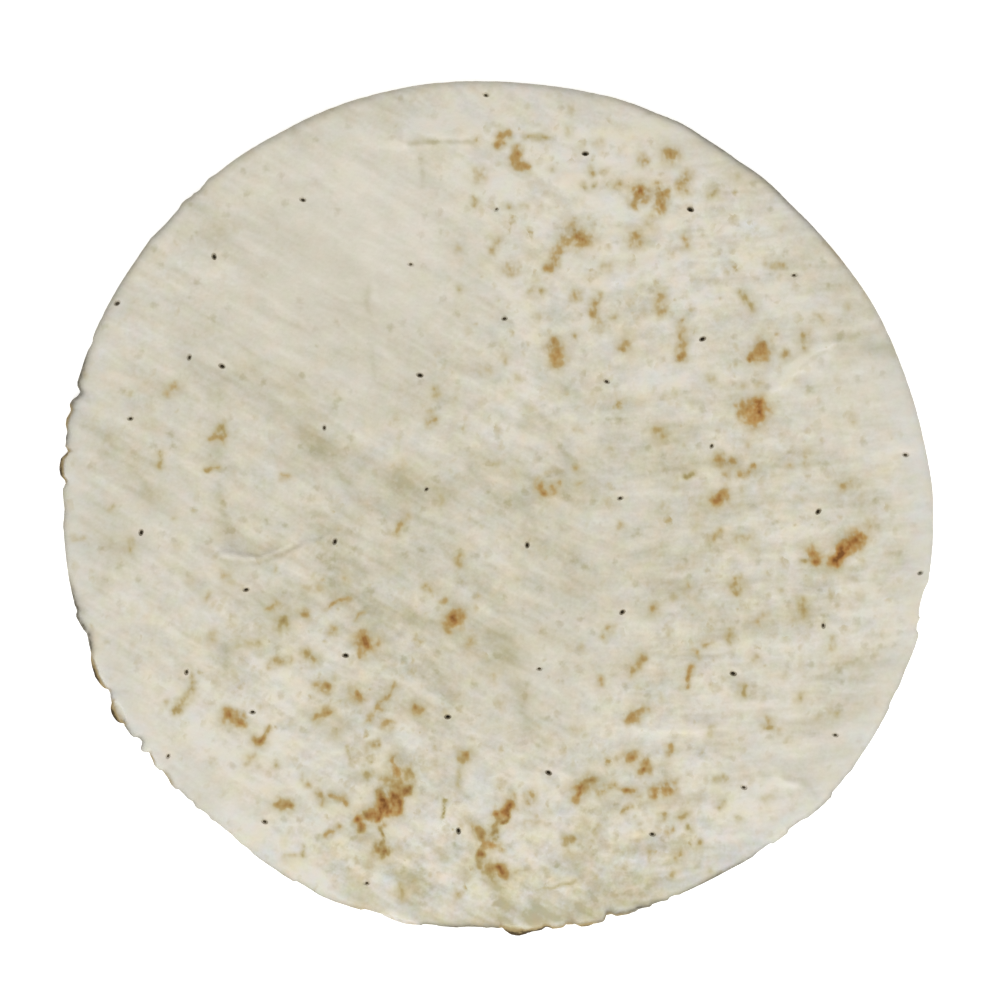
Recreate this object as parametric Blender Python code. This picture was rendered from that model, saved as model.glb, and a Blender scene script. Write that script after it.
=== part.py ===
"""Parbaked pizza crust: one thin round disc of pale dough, docked with blind pin holes.

Metres, +Z up. The underside is flat on z = 0 and the origin is in the middle of it, at the
centre of the crust's box. +Y is the back of the crust, +X its right. Bearings are in degrees,
anticlockwise from +X, seen from above.
"""

import math

import bmesh
import bpy
from mathutils import Vector, noise
from mathutils.geometry import delaunay_2d_cdt
from mathutils.kdtree import KDTree

# Driving sizes of the disc.
MEAN_RADIUS = 0.1524  # a nominal 12 inch crust
THICKNESS = 0.0068
MIDDLE = Vector((0.0007, 0.0012))  # the dough's own centre, from the centre of its box

# Hand-pressed dough is never a true circle: lobes round the rim, share of the radius, bearing.
RIM_LOBES = (
    (1, 0.0075, 213),
    (2, 0.0178, 156),
    (3, 0.0035, 93),
    (4, 0.0017, 64),
    (6, 0.0018, 19),
    (10, 0.0020, 30),
)

# The rim's section: a rounded shoulder above the widest level and an undercut below it.
SHOULDER_INSET = 0.0040
BASE_INSET = 0.0013
WIDEST_SHARE = 0.48  # height of the widest level, as a share of the thickness
SHOULDER_RINGS = 3
BASE_RINGS = 2
RIM_STEPS = 300

# Shallow bays in the rim: bearing, half their width in degrees, how deep.
RIM_BAYS = (
    (139.0, 3.5, 0.0008),
    (165.3, 1.6, 0.0010),
    (171.3, 1.8, 0.0014),
    (179.0, 3.6, 0.0011),
    (196.8, 2.0, 0.0008),
    (204.6, 1.7, 0.0014),
    (213.8, 1.8, 0.0011),
    (229.0, 3.6, 0.0011),
    (267.5, 3.2, 0.0010),
    (285.8, 1.8, 0.0010),
    (346.5, 3.4, 0.0012),
)

# Toasted flash squeezed out at the base: bearing, half its width in degrees, how far it reaches.
BASE_LIPS = (
    (168.2, 1.8, 0.0010),
    (174.8, 2.4, 0.0015),
    (201.3, 2.6, 0.0014),
    (207.5, 2.6, 0.0026),
    (216.5, 1.8, 0.0008),
    (256.5, 2.8, 0.0010),
    (271.5, 2.2, 0.0023),
    (274.6, 1.9, 0.0018),
    (277.6, 1.6, 0.0007),
    (280.4, 1.8, 0.0010),
    (283.3, 1.6, 0.0007),
)
LIP_TIP_HEIGHT = 0.0011

# Docking pins stand in a slanted lattice with every other pin missing from alternate rows.
PIN_START = Vector((0.0112, -0.0147))
PIN_STEP = Vector((0.03607, -0.02169))
ROW_STEP = Vector((0.03230, 0.01849))
PIN_RANGE = range(-9, 10)
PIN_TIP_RADIUS = 0.0010
PIN_RADIUS = 0.0013
PIN_COLLAR_RADIUS = 0.0019
PIN_COLLAR_DEPTH = 0.0008
PIT_FLOOR = 0.0016
PIN_SIDES = 8
PIN_RIM_GAP = 0.0025  # a pin nearer the outline than this misses the dough

# Marks that the dough carried along as it crept after docking: column and row, and how far.
PIN_CREEP = {
    (0, -4): (0.0020, 0.0015),
    (0, -3): (-0.0005, -0.0015),
    (-1, -2): (0.0010, 0.0015),
    (2, -2): (-0.0005, 0.0020),
    (3, -2): (0.0000, 0.0020),
    (1, -1): (0.0000, -0.0015),
    (-4, 0): (-0.0010, 0.0005),
    (0, 0): (-0.0005, 0.0020),
    (1, 0): (-0.0030, 0.0000),
    (-4, 1): (0.0010, -0.0015),
    (-2, 1): (0.0015, 0.0000),
    (2, 1): (-0.0005, -0.0015),
    (-3, 2): (0.0020, -0.0010),
    (-2, 2): (-0.0010, 0.0015),
    (-1, 2): (-0.0010, 0.0010),
    (1, 2): (0.0015, -0.0015),
    (2, 2): (0.0015, -0.0015),
    (-1, 3): (0.0005, -0.0025),
    (-3, 4): (-0.0010, 0.0010),
    (-2, 4): (0.0000, 0.0030),
    (-1, 4): (0.0005, 0.0015),
}

# Troughs between the pillows of dough: depth, half width, and the way each one runs.
TROUGHS = (
    (0.0008, 0.0065, ((-0.096, 0.050), (-0.083, 0.046), (-0.072, 0.034), (-0.064, 0.024))),
    (0.0007, 0.0060, ((-0.064, 0.024), (-0.038, 0.019), (-0.026, 0.006), (-0.014, -0.004))),
    (0.0007, 0.0050, ((-0.097, 0.048), (-0.098, 0.014), (-0.096, -0.006), (-0.083, -0.014))),
    (0.0004, 0.0060, ((-0.063, 0.020), (-0.062, -0.006), (-0.060, -0.024))),
    (0.0005, 0.0080, ((0.008, 0.036), (0.022, 0.024), (0.029, 0.008), (0.028, -0.022))),
    (0.0005, 0.0080, ((-0.002, -0.040), (0.006, -0.057), (0.012, -0.076))),
    (0.0004, 0.0070, ((-0.060, -0.022), (-0.034, -0.040))),
    (0.0004, 0.0070, ((0.112, -0.056), (0.138, -0.052))),
    (0.0003, 0.0090, ((-0.106, 0.096), (-0.080, 0.106))),
    (0.0003, 0.0080, ((0.068, -0.022), (0.085, -0.047))),
    (0.0003, 0.0070, ((-0.137, 0.026), (-0.122, 0.006))),
)

# Folds: a crest with a soft back and a steep front. Rise, back, front, and the crest's line; the
# front is on the right of the way the line runs.
FOLDS = (
    (0.0011, 0.0110, 0.0016, ((0.096, 0.040), (0.105, 0.048), (0.118, 0.0575), (0.136, 0.065))),
    (0.0008, 0.0080, 0.0013, ((-0.033, 0.1285), (-0.018, 0.1290), (-0.004, 0.1295))),
    (0.0007, 0.0080, 0.0014, ((-0.066, -0.012), (-0.074, -0.016), (-0.084, -0.018), (-0.097, -0.016))),
    (0.0005, 0.0070, 0.0014, ((0.050, -0.0775), (0.072, -0.0780))),
    (0.0006, 0.0060, 0.0014, ((0.098, -0.093), (0.112, -0.1015))),
    (0.0006, 0.0050, 0.0012, ((-0.020, -0.111), (-0.017, -0.104))),
    (0.0004, 0.0060, 0.0014, ((0.014, -0.1345), (0.029, -0.1315))),
)

# Blisters that stand proud and take the most colour: place, radius, rise.
BLISTERS = (
    ((-0.034, -0.091), 0.0060, 0.0008),
    ((-0.0405, -0.104), 0.0070, 0.0009),
    ((-0.041, -0.121), 0.0050, 0.0006),
    ((0.003, -0.105), 0.0050, 0.0006),
    ((-0.001, -0.117), 0.0060, 0.0008),
    ((0.124, -0.014), 0.0065, 0.0009),
    ((0.0895, 0.035), 0.0060, 0.0008),
    ((0.0535, 0.108), 0.0065, 0.0008),
    ((0.0265, 0.095), 0.0055, 0.0007),
    ((0.020, 0.0555), 0.0050, 0.0007),
    ((0.0925, 0.056), 0.0045, 0.0006),
    ((0.083, 0.013), 0.0065, 0.0006),
    ((0.021, 0.009), 0.0065, 0.0005),
    ((0.0365, 0.067), 0.0050, 0.0005),
    ((-0.110, -0.065), 0.0055, 0.0006),
    ((-0.0905, -0.074), 0.0050, 0.0006),
    ((-0.046, -0.0475), 0.0055, 0.0006),
    ((-0.0155, -0.038), 0.0050, 0.0005),
    ((0.035, -0.099), 0.0060, 0.0006),
    ((0.058, -0.099), 0.0045, 0.0005),
)

# Low swells over the whole skin, and the ease down to the shoulder.
SWELL_RISE = 0.00035
SWELL_SIZE = 0.024
SWELL_SEED = Vector((3.1, 7.7, 0.4))
EDGE_FALL = 0.0006
EDGE_WIDTH = 0.014

# Spacing of the skin's points.
SKIN_SPACING = 0.0053
CREST_SPACING = 0.0030
BLISTER_SIDES = 6

CRUST_COLOUR = (0.638, 0.597, 0.485, 1.0)
CRUST_ROUGHNESS = 0.86


def clear_scene():
    for thing in list(bpy.data.objects):
        bpy.data.objects.remove(thing, do_unlink=True)


def unit(bearing):
    return Vector((math.cos(bearing), math.sin(bearing)))


def across(bearing, middle, half_width):
    """Where a bearing falls across a stretch of rim: 0 in its middle, 1 at its ends and past."""
    turn = (math.degrees(bearing) - middle + 180.0) % 360.0 - 180.0
    return min(abs(turn) / half_width, 1.0)


def rim_radius(bearing):
    """Distance of the outline from the dough's centre."""
    share = 1.0
    for lobes, amount, crest in RIM_LOBES:
        share += amount * math.cos(lobes * (bearing - math.radians(crest)))
    bay = max(deep * (1.0 - across(bearing, middle, wide) ** 2) for middle, wide, deep in RIM_BAYS)
    return MEAN_RADIUS * share - bay


def lip_reach(bearing):
    """How far the base flash stands out past the rim."""
    return max(
        most * math.sqrt(1.0 - across(bearing, middle, wide) ** 2)
        for middle, wide, most in BASE_LIPS
    )


def edge_distance(point):
    """Distance inwards from the outline, along the radius."""
    spoke = point - MIDDLE
    return rim_radius(math.atan2(spoke.y, spoke.x)) - spoke.length


def ease(value):
    """A smooth step from 0 to 1."""
    share = min(max(value, 0.0), 1.0)
    return share * share * (3.0 - 2.0 * share)


def nearest_on_line(point, line):
    """Distance from a line of points, with a sign: positive on the left of its way."""
    best = None
    for start, end in zip(line, line[1:]):
        start = Vector(start)
        along = Vector(end) - start
        share = min(max((point - start).dot(along) / along.length_squared, 0.0), 1.0)
        offset = point - (start + share * along)
        if best is None or offset.length < abs(best):
            side = along.x * offset.y - along.y * offset.x
            best = math.copysign(offset.length, side)
    return best


def trough_drop(point):
    drop = 0.0
    for depth, half_width, line in TROUGHS:
        distance = nearest_on_line(point, line)
        drop = max(drop, depth * math.exp(-((distance / half_width) ** 2)))
    return drop


def fold_rise(point):
    rise = 0.0
    for height, back, front, line in FOLDS:
        distance = nearest_on_line(point, line)
        reach = back if distance > 0.0 else front
        rise = max(rise, height * math.exp(-((distance / reach) ** 2)))
    return rise


def blister_rise(point):
    rise = 0.0
    for place, radius, height in BLISTERS:
        share = (point - Vector(place)).length / radius
        if share < 1.0:
            rise = max(rise, height * (1.0 - share * share) ** 2)
    return rise


def top_height(point):
    """Height of the top skin above the underside."""
    spot = Vector((point.x, point.y, 0.0)) / SWELL_SIZE
    swell = SWELL_RISE * noise.noise(spot + SWELL_SEED)
    edge = ease(edge_distance(point) / EDGE_WIDTH)
    relief = swell - trough_drop(point) + fold_rise(point) + blister_rise(point)
    return THICKNESS - EDGE_FALL * (1.0 - edge) + relief * edge


def rim_point(bearing, angle):
    """A point of the rim's section. The angle runs from 0 at the shoulder, through a quarter turn
    at the widest level, to a half turn at the base."""
    radius = rim_radius(bearing)
    widest = WIDEST_SHARE * THICKNESS
    rise = math.cos(angle)
    if rise > 0.0:
        inset = SHOULDER_INSET * (1.0 - math.sin(angle))
        shoulder = MIDDLE + (radius - SHOULDER_INSET) * unit(bearing)
        height = widest + (top_height(shoulder) - widest) * rise
    else:
        inset = BASE_INSET * (1.0 - math.sin(angle))
        inset -= lip_reach(bearing) * ease(-rise * widest / (widest - LIP_TIP_HEIGHT))
        height = widest * (1.0 + rise)
    return (MIDDLE + (radius - inset) * unit(bearing)).to_3d() + Vector((0.0, 0.0, height))


def section_angles():
    quarter = math.pi / 2
    above = [quarter * step / SHOULDER_RINGS for step in range(SHOULDER_RINGS + 1)]
    below = [quarter * (1.0 + step / BASE_RINGS) for step in range(1, BASE_RINGS + 1)]
    return above + below


def along_line(line, spacing, shift):
    """Points every so far along a line, moved to its left by the shift."""
    points = []
    for start, end in zip(line, line[1:]):
        start = Vector(start)
        way = Vector(end) - start
        left = Vector((-way.y, way.x)).normalized()
        steps = max(1, round(way.length / spacing))
        points += [start + way * (step / steps) + left * shift for step in range(steps)]
    return points


def form_points():
    """Points that the folds and blisters need: crest and foot, centre and ring."""
    points = []
    for _, _, front, line in FOLDS:
        points += along_line(line, CREST_SPACING, 0.0)
        points += along_line(line, CREST_SPACING, -1.6 * front)
    for place, radius, _ in BLISTERS:
        points.append(Vector(place))
        for side in range(BLISTER_SIDES):
            turn = unit(2.0 * math.pi * side / BLISTER_SIDES)
            points.append(Vector(place) + 0.6 * radius * turn)
    return points


def lattice_points():
    """Evenly spread points over a square that holds the whole disc."""
    row_height = SKIN_SPACING * math.sqrt(0.75)
    reach = math.ceil(1.05 * MEAN_RADIUS / row_height)
    points = []
    for row in range(-reach, reach + 1):
        stagger = 0.5 * (row % 2)
        for column in range(-reach, reach + 1):
            points.append(Vector(((column + stagger) * SKIN_SPACING, row * row_height)))
    return points


def skin_points(shoulder):
    """The plan of the top skin: the shoulder's loop, the forms' points, and the lattice between."""
    points = list(shoulder)
    for wanted, gap in ((form_points(), 0.25), (lattice_points(), 0.55)):
        taken = KDTree(len(points))
        for index, point in enumerate(points):
            taken.insert(point.to_3d(), index)
        taken.balance()
        for point in wanted:
            inside = edge_distance(point) > SHOULDER_INSET
            if inside and taken.find(point.to_3d())[2] > gap * SKIN_SPACING:
                points.append(point)
    return points


def make_disc():
    """The closed disc: skin, rim and flat base."""
    mesh = bmesh.new()
    bearings = [2.0 * math.pi * step / RIM_STEPS for step in range(RIM_STEPS)]
    rings = []
    for angle in section_angles():
        rings.append([mesh.verts.new(rim_point(bearing, angle)) for bearing in bearings])
    for upper, lower in zip(rings, rings[1:]):
        for step in range(RIM_STEPS):
            after = (step + 1) % RIM_STEPS
            mesh.faces.new((upper[step], lower[step], lower[after], upper[after]))
    mesh.faces.new(reversed(rings[-1]))

    shoulder = [vert.co.to_2d() for vert in rings[0]]
    points = skin_points(shoulder)
    skin = list(rings[0])
    for point in points[RIM_STEPS:]:
        skin.append(mesh.verts.new((point.x, point.y, top_height(point))))
    loop = [(step, (step + 1) % RIM_STEPS) for step in range(RIM_STEPS)]
    triangles = delaunay_2d_cdt(points, loop, [], 1, 1e-7)[2]
    for triangle in triangles:
        mesh.faces.new([skin[index] for index in triangle])
    return mesh


def pin_places():
    places = []
    for row in PIN_RANGE:
        for column in PIN_RANGE:
            missing = row % 2 == 1 and (column + (row - 3) // 2) % 2 == 0
            creep = Vector(PIN_CREEP.get((column, row), (0.0, 0.0)))
            place = PIN_START + column * PIN_STEP + row * ROW_STEP + creep
            if not missing and edge_distance(place) > PIN_RIM_GAP:
                places.append(place)
    return places


def make_pins():
    """Tapered pins with a flared collar, standing where the docker pressed the dough."""
    mesh = bmesh.new()
    for place in pin_places():
        top = top_height(place)
        levels = (
            (PIN_TIP_RADIUS, PIT_FLOOR),
            (PIN_RADIUS, top - PIN_COLLAR_DEPTH),
            (PIN_COLLAR_RADIUS, top + PIN_COLLAR_DEPTH),
        )
        rings = []
        for radius, height in levels:
            ring = []
            for side in range(PIN_SIDES):
                corner = place + radius * unit(2.0 * math.pi * side / PIN_SIDES)
                ring.append(mesh.verts.new((corner.x, corner.y, height)))
            rings.append(ring)
        for lower, upper in zip(rings, rings[1:]):
            for side in range(PIN_SIDES):
                after = (side + 1) % PIN_SIDES
                mesh.faces.new((lower[side], lower[after], upper[after], upper[side]))
        mesh.faces.new(reversed(rings[0]))
        mesh.faces.new(rings[-1])
    return mesh


def add_object(name, mesh):
    data = bpy.data.meshes.new(name)
    mesh.normal_update()
    mesh.to_mesh(data)
    mesh.free()
    thing = bpy.data.objects.new(name, data)
    bpy.context.scene.collection.objects.link(thing)
    return thing


def dough_material():
    material = bpy.data.materials.new("parbaked_dough")
    material.use_nodes = True
    shader = material.node_tree.nodes["Principled BSDF"]
    shader.inputs["Base Color"].default_value = CRUST_COLOUR
    shader.inputs["Roughness"].default_value = CRUST_ROUGHNESS
    shader.inputs["Metallic"].default_value = 0.0
    return material


def main():
    clear_scene()

    pins = add_object("docking_pins", make_pins())
    pins.hide_render = True
    pins.display_type = "WIRE"

    crust = add_object("crust", make_disc())
    crust.data.materials.append(dough_material())
    crust.data.shade_smooth()
    crust.data.set_sharp_from_angle(angle=math.radians(50))
    docking = crust.modifiers.new("docking", "BOOLEAN")
    docking.operation = "DIFFERENCE"
    docking.solver = "EXACT"
    docking.object = pins


main()
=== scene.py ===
"""Parbaked pizza crust, dressed: docked, blistered and toasted dough on a pale studio floor.

Metres, +Z up. The underside rests on z = 0, +Y is the back of the crust and +X its right.
Bearings are in degrees, anticlockwise from +X, seen from above. The one body is root.
"""

import math

import bpy
import numpy as np
from bpy.props import FloatProperty, FloatVectorProperty, IntProperty, PointerProperty
from bpy.types import Operator, Panel, PropertyGroup
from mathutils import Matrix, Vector, noise
from mathutils.geometry import delaunay_2d_cdt


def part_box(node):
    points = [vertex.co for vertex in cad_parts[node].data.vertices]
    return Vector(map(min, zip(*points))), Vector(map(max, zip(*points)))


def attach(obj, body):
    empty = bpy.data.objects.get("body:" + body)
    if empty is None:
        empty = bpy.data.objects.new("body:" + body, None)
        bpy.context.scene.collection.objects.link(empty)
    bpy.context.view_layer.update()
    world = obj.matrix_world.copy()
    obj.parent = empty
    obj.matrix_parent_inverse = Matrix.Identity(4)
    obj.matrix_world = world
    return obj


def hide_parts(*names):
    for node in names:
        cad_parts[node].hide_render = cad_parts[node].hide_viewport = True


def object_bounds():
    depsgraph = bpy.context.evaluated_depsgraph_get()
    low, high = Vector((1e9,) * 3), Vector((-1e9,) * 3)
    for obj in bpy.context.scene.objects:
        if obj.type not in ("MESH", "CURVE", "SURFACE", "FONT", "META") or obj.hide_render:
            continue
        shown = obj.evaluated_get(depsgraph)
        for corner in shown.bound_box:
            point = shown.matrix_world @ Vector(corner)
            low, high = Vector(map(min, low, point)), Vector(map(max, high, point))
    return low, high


bl_info = {
    "name": "Parbaked pizza crust",
    "version": (1, 0, 0),
    "blender": (4, 5, 0),
    "location": "3D View > Sidebar > Crust",
    "description": "Builds the skin, pin holes, blisters and toasting of a parbaked pizza crust",
    "category": "Object",
}

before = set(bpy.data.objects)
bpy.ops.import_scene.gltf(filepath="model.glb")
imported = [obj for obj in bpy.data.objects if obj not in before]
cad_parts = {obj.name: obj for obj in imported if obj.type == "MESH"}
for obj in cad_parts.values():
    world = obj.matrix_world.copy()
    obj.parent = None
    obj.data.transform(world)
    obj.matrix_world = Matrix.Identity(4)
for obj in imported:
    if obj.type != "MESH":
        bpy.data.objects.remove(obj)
CAD_LOW, CAD_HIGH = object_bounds()
CRUST_LOW, CRUST_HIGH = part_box("crust")
BODY = "root"
MM = 0.001

# ---------------------------------------------------------------------------------------------
# The form of the disc
# ---------------------------------------------------------------------------------------------

# The disc that the dough was pressed to, with the solid's own sizes.
MEAN_RADIUS = 0.1524
THICKNESS = 0.0068
MIDDLE = np.array((0.0007, 0.0012))
SHOULDER_INSET = 0.0040
BASE_INSET = 0.0013
WIDEST_LEVEL = 0.48 * THICKNESS
EDGE_FALL = 0.0006
EDGE_WIDTH = 0.014
SWELL_RISE = 0.00035
SWELL_SIZE = 0.024
SWELL_SEED = Vector((3.1, 7.7, 0.4))

# Slow lobes of the outline: how many, how much of the radius, the bearing of a crest.
RIM_LOBES = (
    (1, 0.0075, 213), (2, 0.0178, 156), (3, 0.0035, 93), (4, 0.0017, 64), (6, 0.0018, 19), (10, 0.002, 30),
)

# Shallow bays in the rim: bearing, half their width in degrees, how deep.
RIM_BAYS = (
    (139.0, 3.5, 0.0008), (165.3, 1.6, 0.001), (171.3, 1.8, 0.0014), (179.0, 3.6, 0.0011),
    (196.8, 2.0, 0.0008), (204.6, 1.7, 0.0014), (213.8, 1.8, 0.0011), (229.0, 3.6, 0.0011),
    (267.5, 3.2, 0.001), (285.8, 1.8, 0.001), (346.5, 3.4, 0.0012),
)

# Where the outline stands out or back a little: bearing, half width in degrees, millimetres.
RIM_SWELLS = (
    (1, 9, 0.5), (20, 8, -0.25), (35, 9, -0.25), (50.5, 5, 0.6), (64.5, 4, 0.45), (73, 5, 0.2),
    (88, 14, -0.42), (114, 11, 0.55), (125, 5, 0.3), (131.5, 1.3, 0.6), (132.5, 3.5, -0.45),
    (135.0, 1.3, -0.45), (137.5, 3.5, 0.3), (145.5, 5, -0.35), (157, 8, 0.45), (166.2, 1.4, 0.45),
    (167, 5, 0.6), (171.2, 1.9, 1.0), (178.6, 2.2, 0.45), (183, 8, -0.5), (195.2, 2.4, 0.6),
    (199.3, 1.5, -0.5), (202.6, 2.4, 0.35), (204.3, 1.9, 1.5), (211.5, 4, 0.3), (214.4, 0.9, 1.4),
    (222, 7, 0.3), (224.3, 1.1, -0.75), (229, 3, 0.6), (233.4, 2.0, -0.65), (245, 9, 0.7), (258.2, 4, 0.85),
    (264.5, 4, -0.25), (270.8, 1.0, -0.85), (272.7, 0.8, 0.4), (273.8, 0.8, 0.6), (284, 4, 0.5),
    (286.6, 1.4, 0.5), (300, 9, -0.42), (319, 7, 1.05), (333, 13, 0.5), (342.5, 5, 0.75), (346.5, 3, 0.4),
)

# Tears in the rim: bearing at which the outline steps in, bearing by which it is back, how deep.
TEARS = (
    (133.2, 134.3, 0.0005), (136.8, 141.6, 0.0004), (157.8, 159.3, 0.0006), (164.5, 166.0, 0.0013),
    (167.0, 168.6, 0.0006), (172.5, 173.8, 0.0014), (176.4, 177.8, 0.001), (194.3, 193.2, 0.0006),
    (196.9, 199.9, 0.0006), (205.1, 206.9, 0.0006), (212.6, 214.1, 0.001), (215.1, 217.0, 0.001),
    (218.1, 220.3, 0.0009), (221.4, 224.6, 0.0009), (225.2, 227.4, 0.0007), (227.9, 232.6, 0.0005),
    (241.5, 245.2, 0.0007), (251.4, 254.5, 0.0006), (259.6, 262.0, 0.0006), (270.6, 268.5, 0.0005),
    (276.1, 277.2, 0.0008), (278.9, 281.0, 0.0008), (284.5, 285.9, 0.0013), (288.8, 290.4, 0.0005),
    (290.9, 292.8, 0.0006), (293.4, 294.9, 0.0005), (308.9, 305.8, 0.0008), (311.6, 314.7, 0.0008),
    (319.0, 323.0, 0.0008), (332.8, 335.5, 0.0005), (343.2, 344.9, 0.001), (345.2, 349.9, 0.0006),
)
TEAR_STEEPNESS = 0.35  # degrees

# Toasted flash squeezed out at the base: bearing, half its width in degrees, how far it reaches.
BASE_LIPS = (
    (169.0, 1.6, 0.0009), (175.0, 2.2, 0.0014), (202.6, 2.7, 0.0014), (208.6, 1.6, 0.0026),
    (216.5, 1.8, 0.0008), (256.5, 2.8, 0.001), (272.2, 1.8, 0.0021), (274.6, 1.6, 0.001),
    (277.6, 1.6, 0.0007), (281.6, 1.4, 0.0012), (283.3, 1.6, 0.0007),
)
LIP_TIP_HEIGHT = 0.0011
LIP_RECESS = 0.9  # how far the rim stands back over the flash, in parts of the flash's reach

# Troughs between the pillows of dough: depth, half width, and the way each one runs.
TROUGHS = (
    (0.0008, 0.0065, ((-0.096, 0.05), (-0.083, 0.046), (-0.072, 0.034), (-0.064, 0.024))),
    (0.0007, 0.006, ((-0.064, 0.024), (-0.038, 0.019), (-0.026, 0.006), (-0.014, -0.004))),
    (0.0007, 0.005, ((-0.097, 0.048), (-0.098, 0.014), (-0.096, -0.006), (-0.083, -0.014))),
    (0.0004, 0.006, ((-0.063, 0.02), (-0.062, -0.006), (-0.06, -0.024))),
    (0.0005, 0.008, ((0.008, 0.036), (0.022, 0.024), (0.029, 0.008), (0.028, -0.022))),
    (0.0005, 0.008, ((-0.002, -0.04), (0.006, -0.057), (0.012, -0.076))),
    (0.0004, 0.007, ((-0.06, -0.022), (-0.034, -0.04))),
    (0.0004, 0.007, ((0.112, -0.056), (0.138, -0.052))), (0.0003, 0.009, ((-0.106, 0.096), (-0.08, 0.106))),
    (0.0003, 0.008, ((0.068, -0.022), (0.085, -0.047))),
    (0.0003, 0.007, ((-0.137, 0.026), (-0.122, 0.006))),
)

# Folds: a crest with a soft back and a steep front. Rise, back, front, and the crest's line; the
# front is on the right of the way the line runs.
FOLDS = (
    (0.0011, 0.011, 0.0016, ((0.096, 0.04), (0.105, 0.048), (0.118, 0.0575), (0.136, 0.065))),
    (0.0008, 0.008, 0.0013, ((-0.033, 0.1285), (-0.018, 0.129), (-0.004, 0.1295))),
    (0.0007, 0.008, 0.0014, ((-0.066, -0.012), (-0.074, -0.016), (-0.084, -0.018), (-0.097, -0.016))),
    (0.0005, 0.007, 0.0014, ((0.05, -0.0775), (0.072, -0.078))),
    (0.0006, 0.006, 0.0014, ((0.098, -0.093), (0.112, -0.1015))),
    (0.0006, 0.005, 0.0012, ((-0.02, -0.111), (-0.017, -0.104))),
    (0.0004, 0.006, 0.0014, ((0.014, -0.1345), (0.029, -0.1315))),
)

# Blisters that stand proud and take the most colour: place, radius, rise.
BLISTERS = (
    ((-0.034, -0.091), 0.006, 0.0008), ((-0.0405, -0.104), 0.007, 0.0009),
    ((-0.041, -0.121), 0.005, 0.0006), ((0.003, -0.105), 0.005, 0.0006), ((-0.001, -0.117), 0.006, 0.0008),
    ((0.124, -0.014), 0.0065, 0.0009), ((0.0895, 0.035), 0.006, 0.0008), ((0.0535, 0.108), 0.0065, 0.0008),
    ((0.0265, 0.095), 0.0055, 0.0007), ((0.02, 0.0555), 0.005, 0.0007), ((0.0925, 0.056), 0.0045, 0.0006),
    ((0.083, 0.013), 0.0065, 0.0006), ((0.021, 0.009), 0.0065, 0.0005), ((0.0365, 0.067), 0.005, 0.0005),
    ((-0.11, -0.065), 0.0055, 0.0006), ((-0.0905, -0.074), 0.005, 0.0006),
    ((-0.046, -0.0475), 0.0055, 0.0006), ((-0.0155, -0.038), 0.005, 0.0005),
    ((0.035, -0.099), 0.006, 0.0006), ((0.058, -0.099), 0.0045, 0.0005),
)

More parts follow.
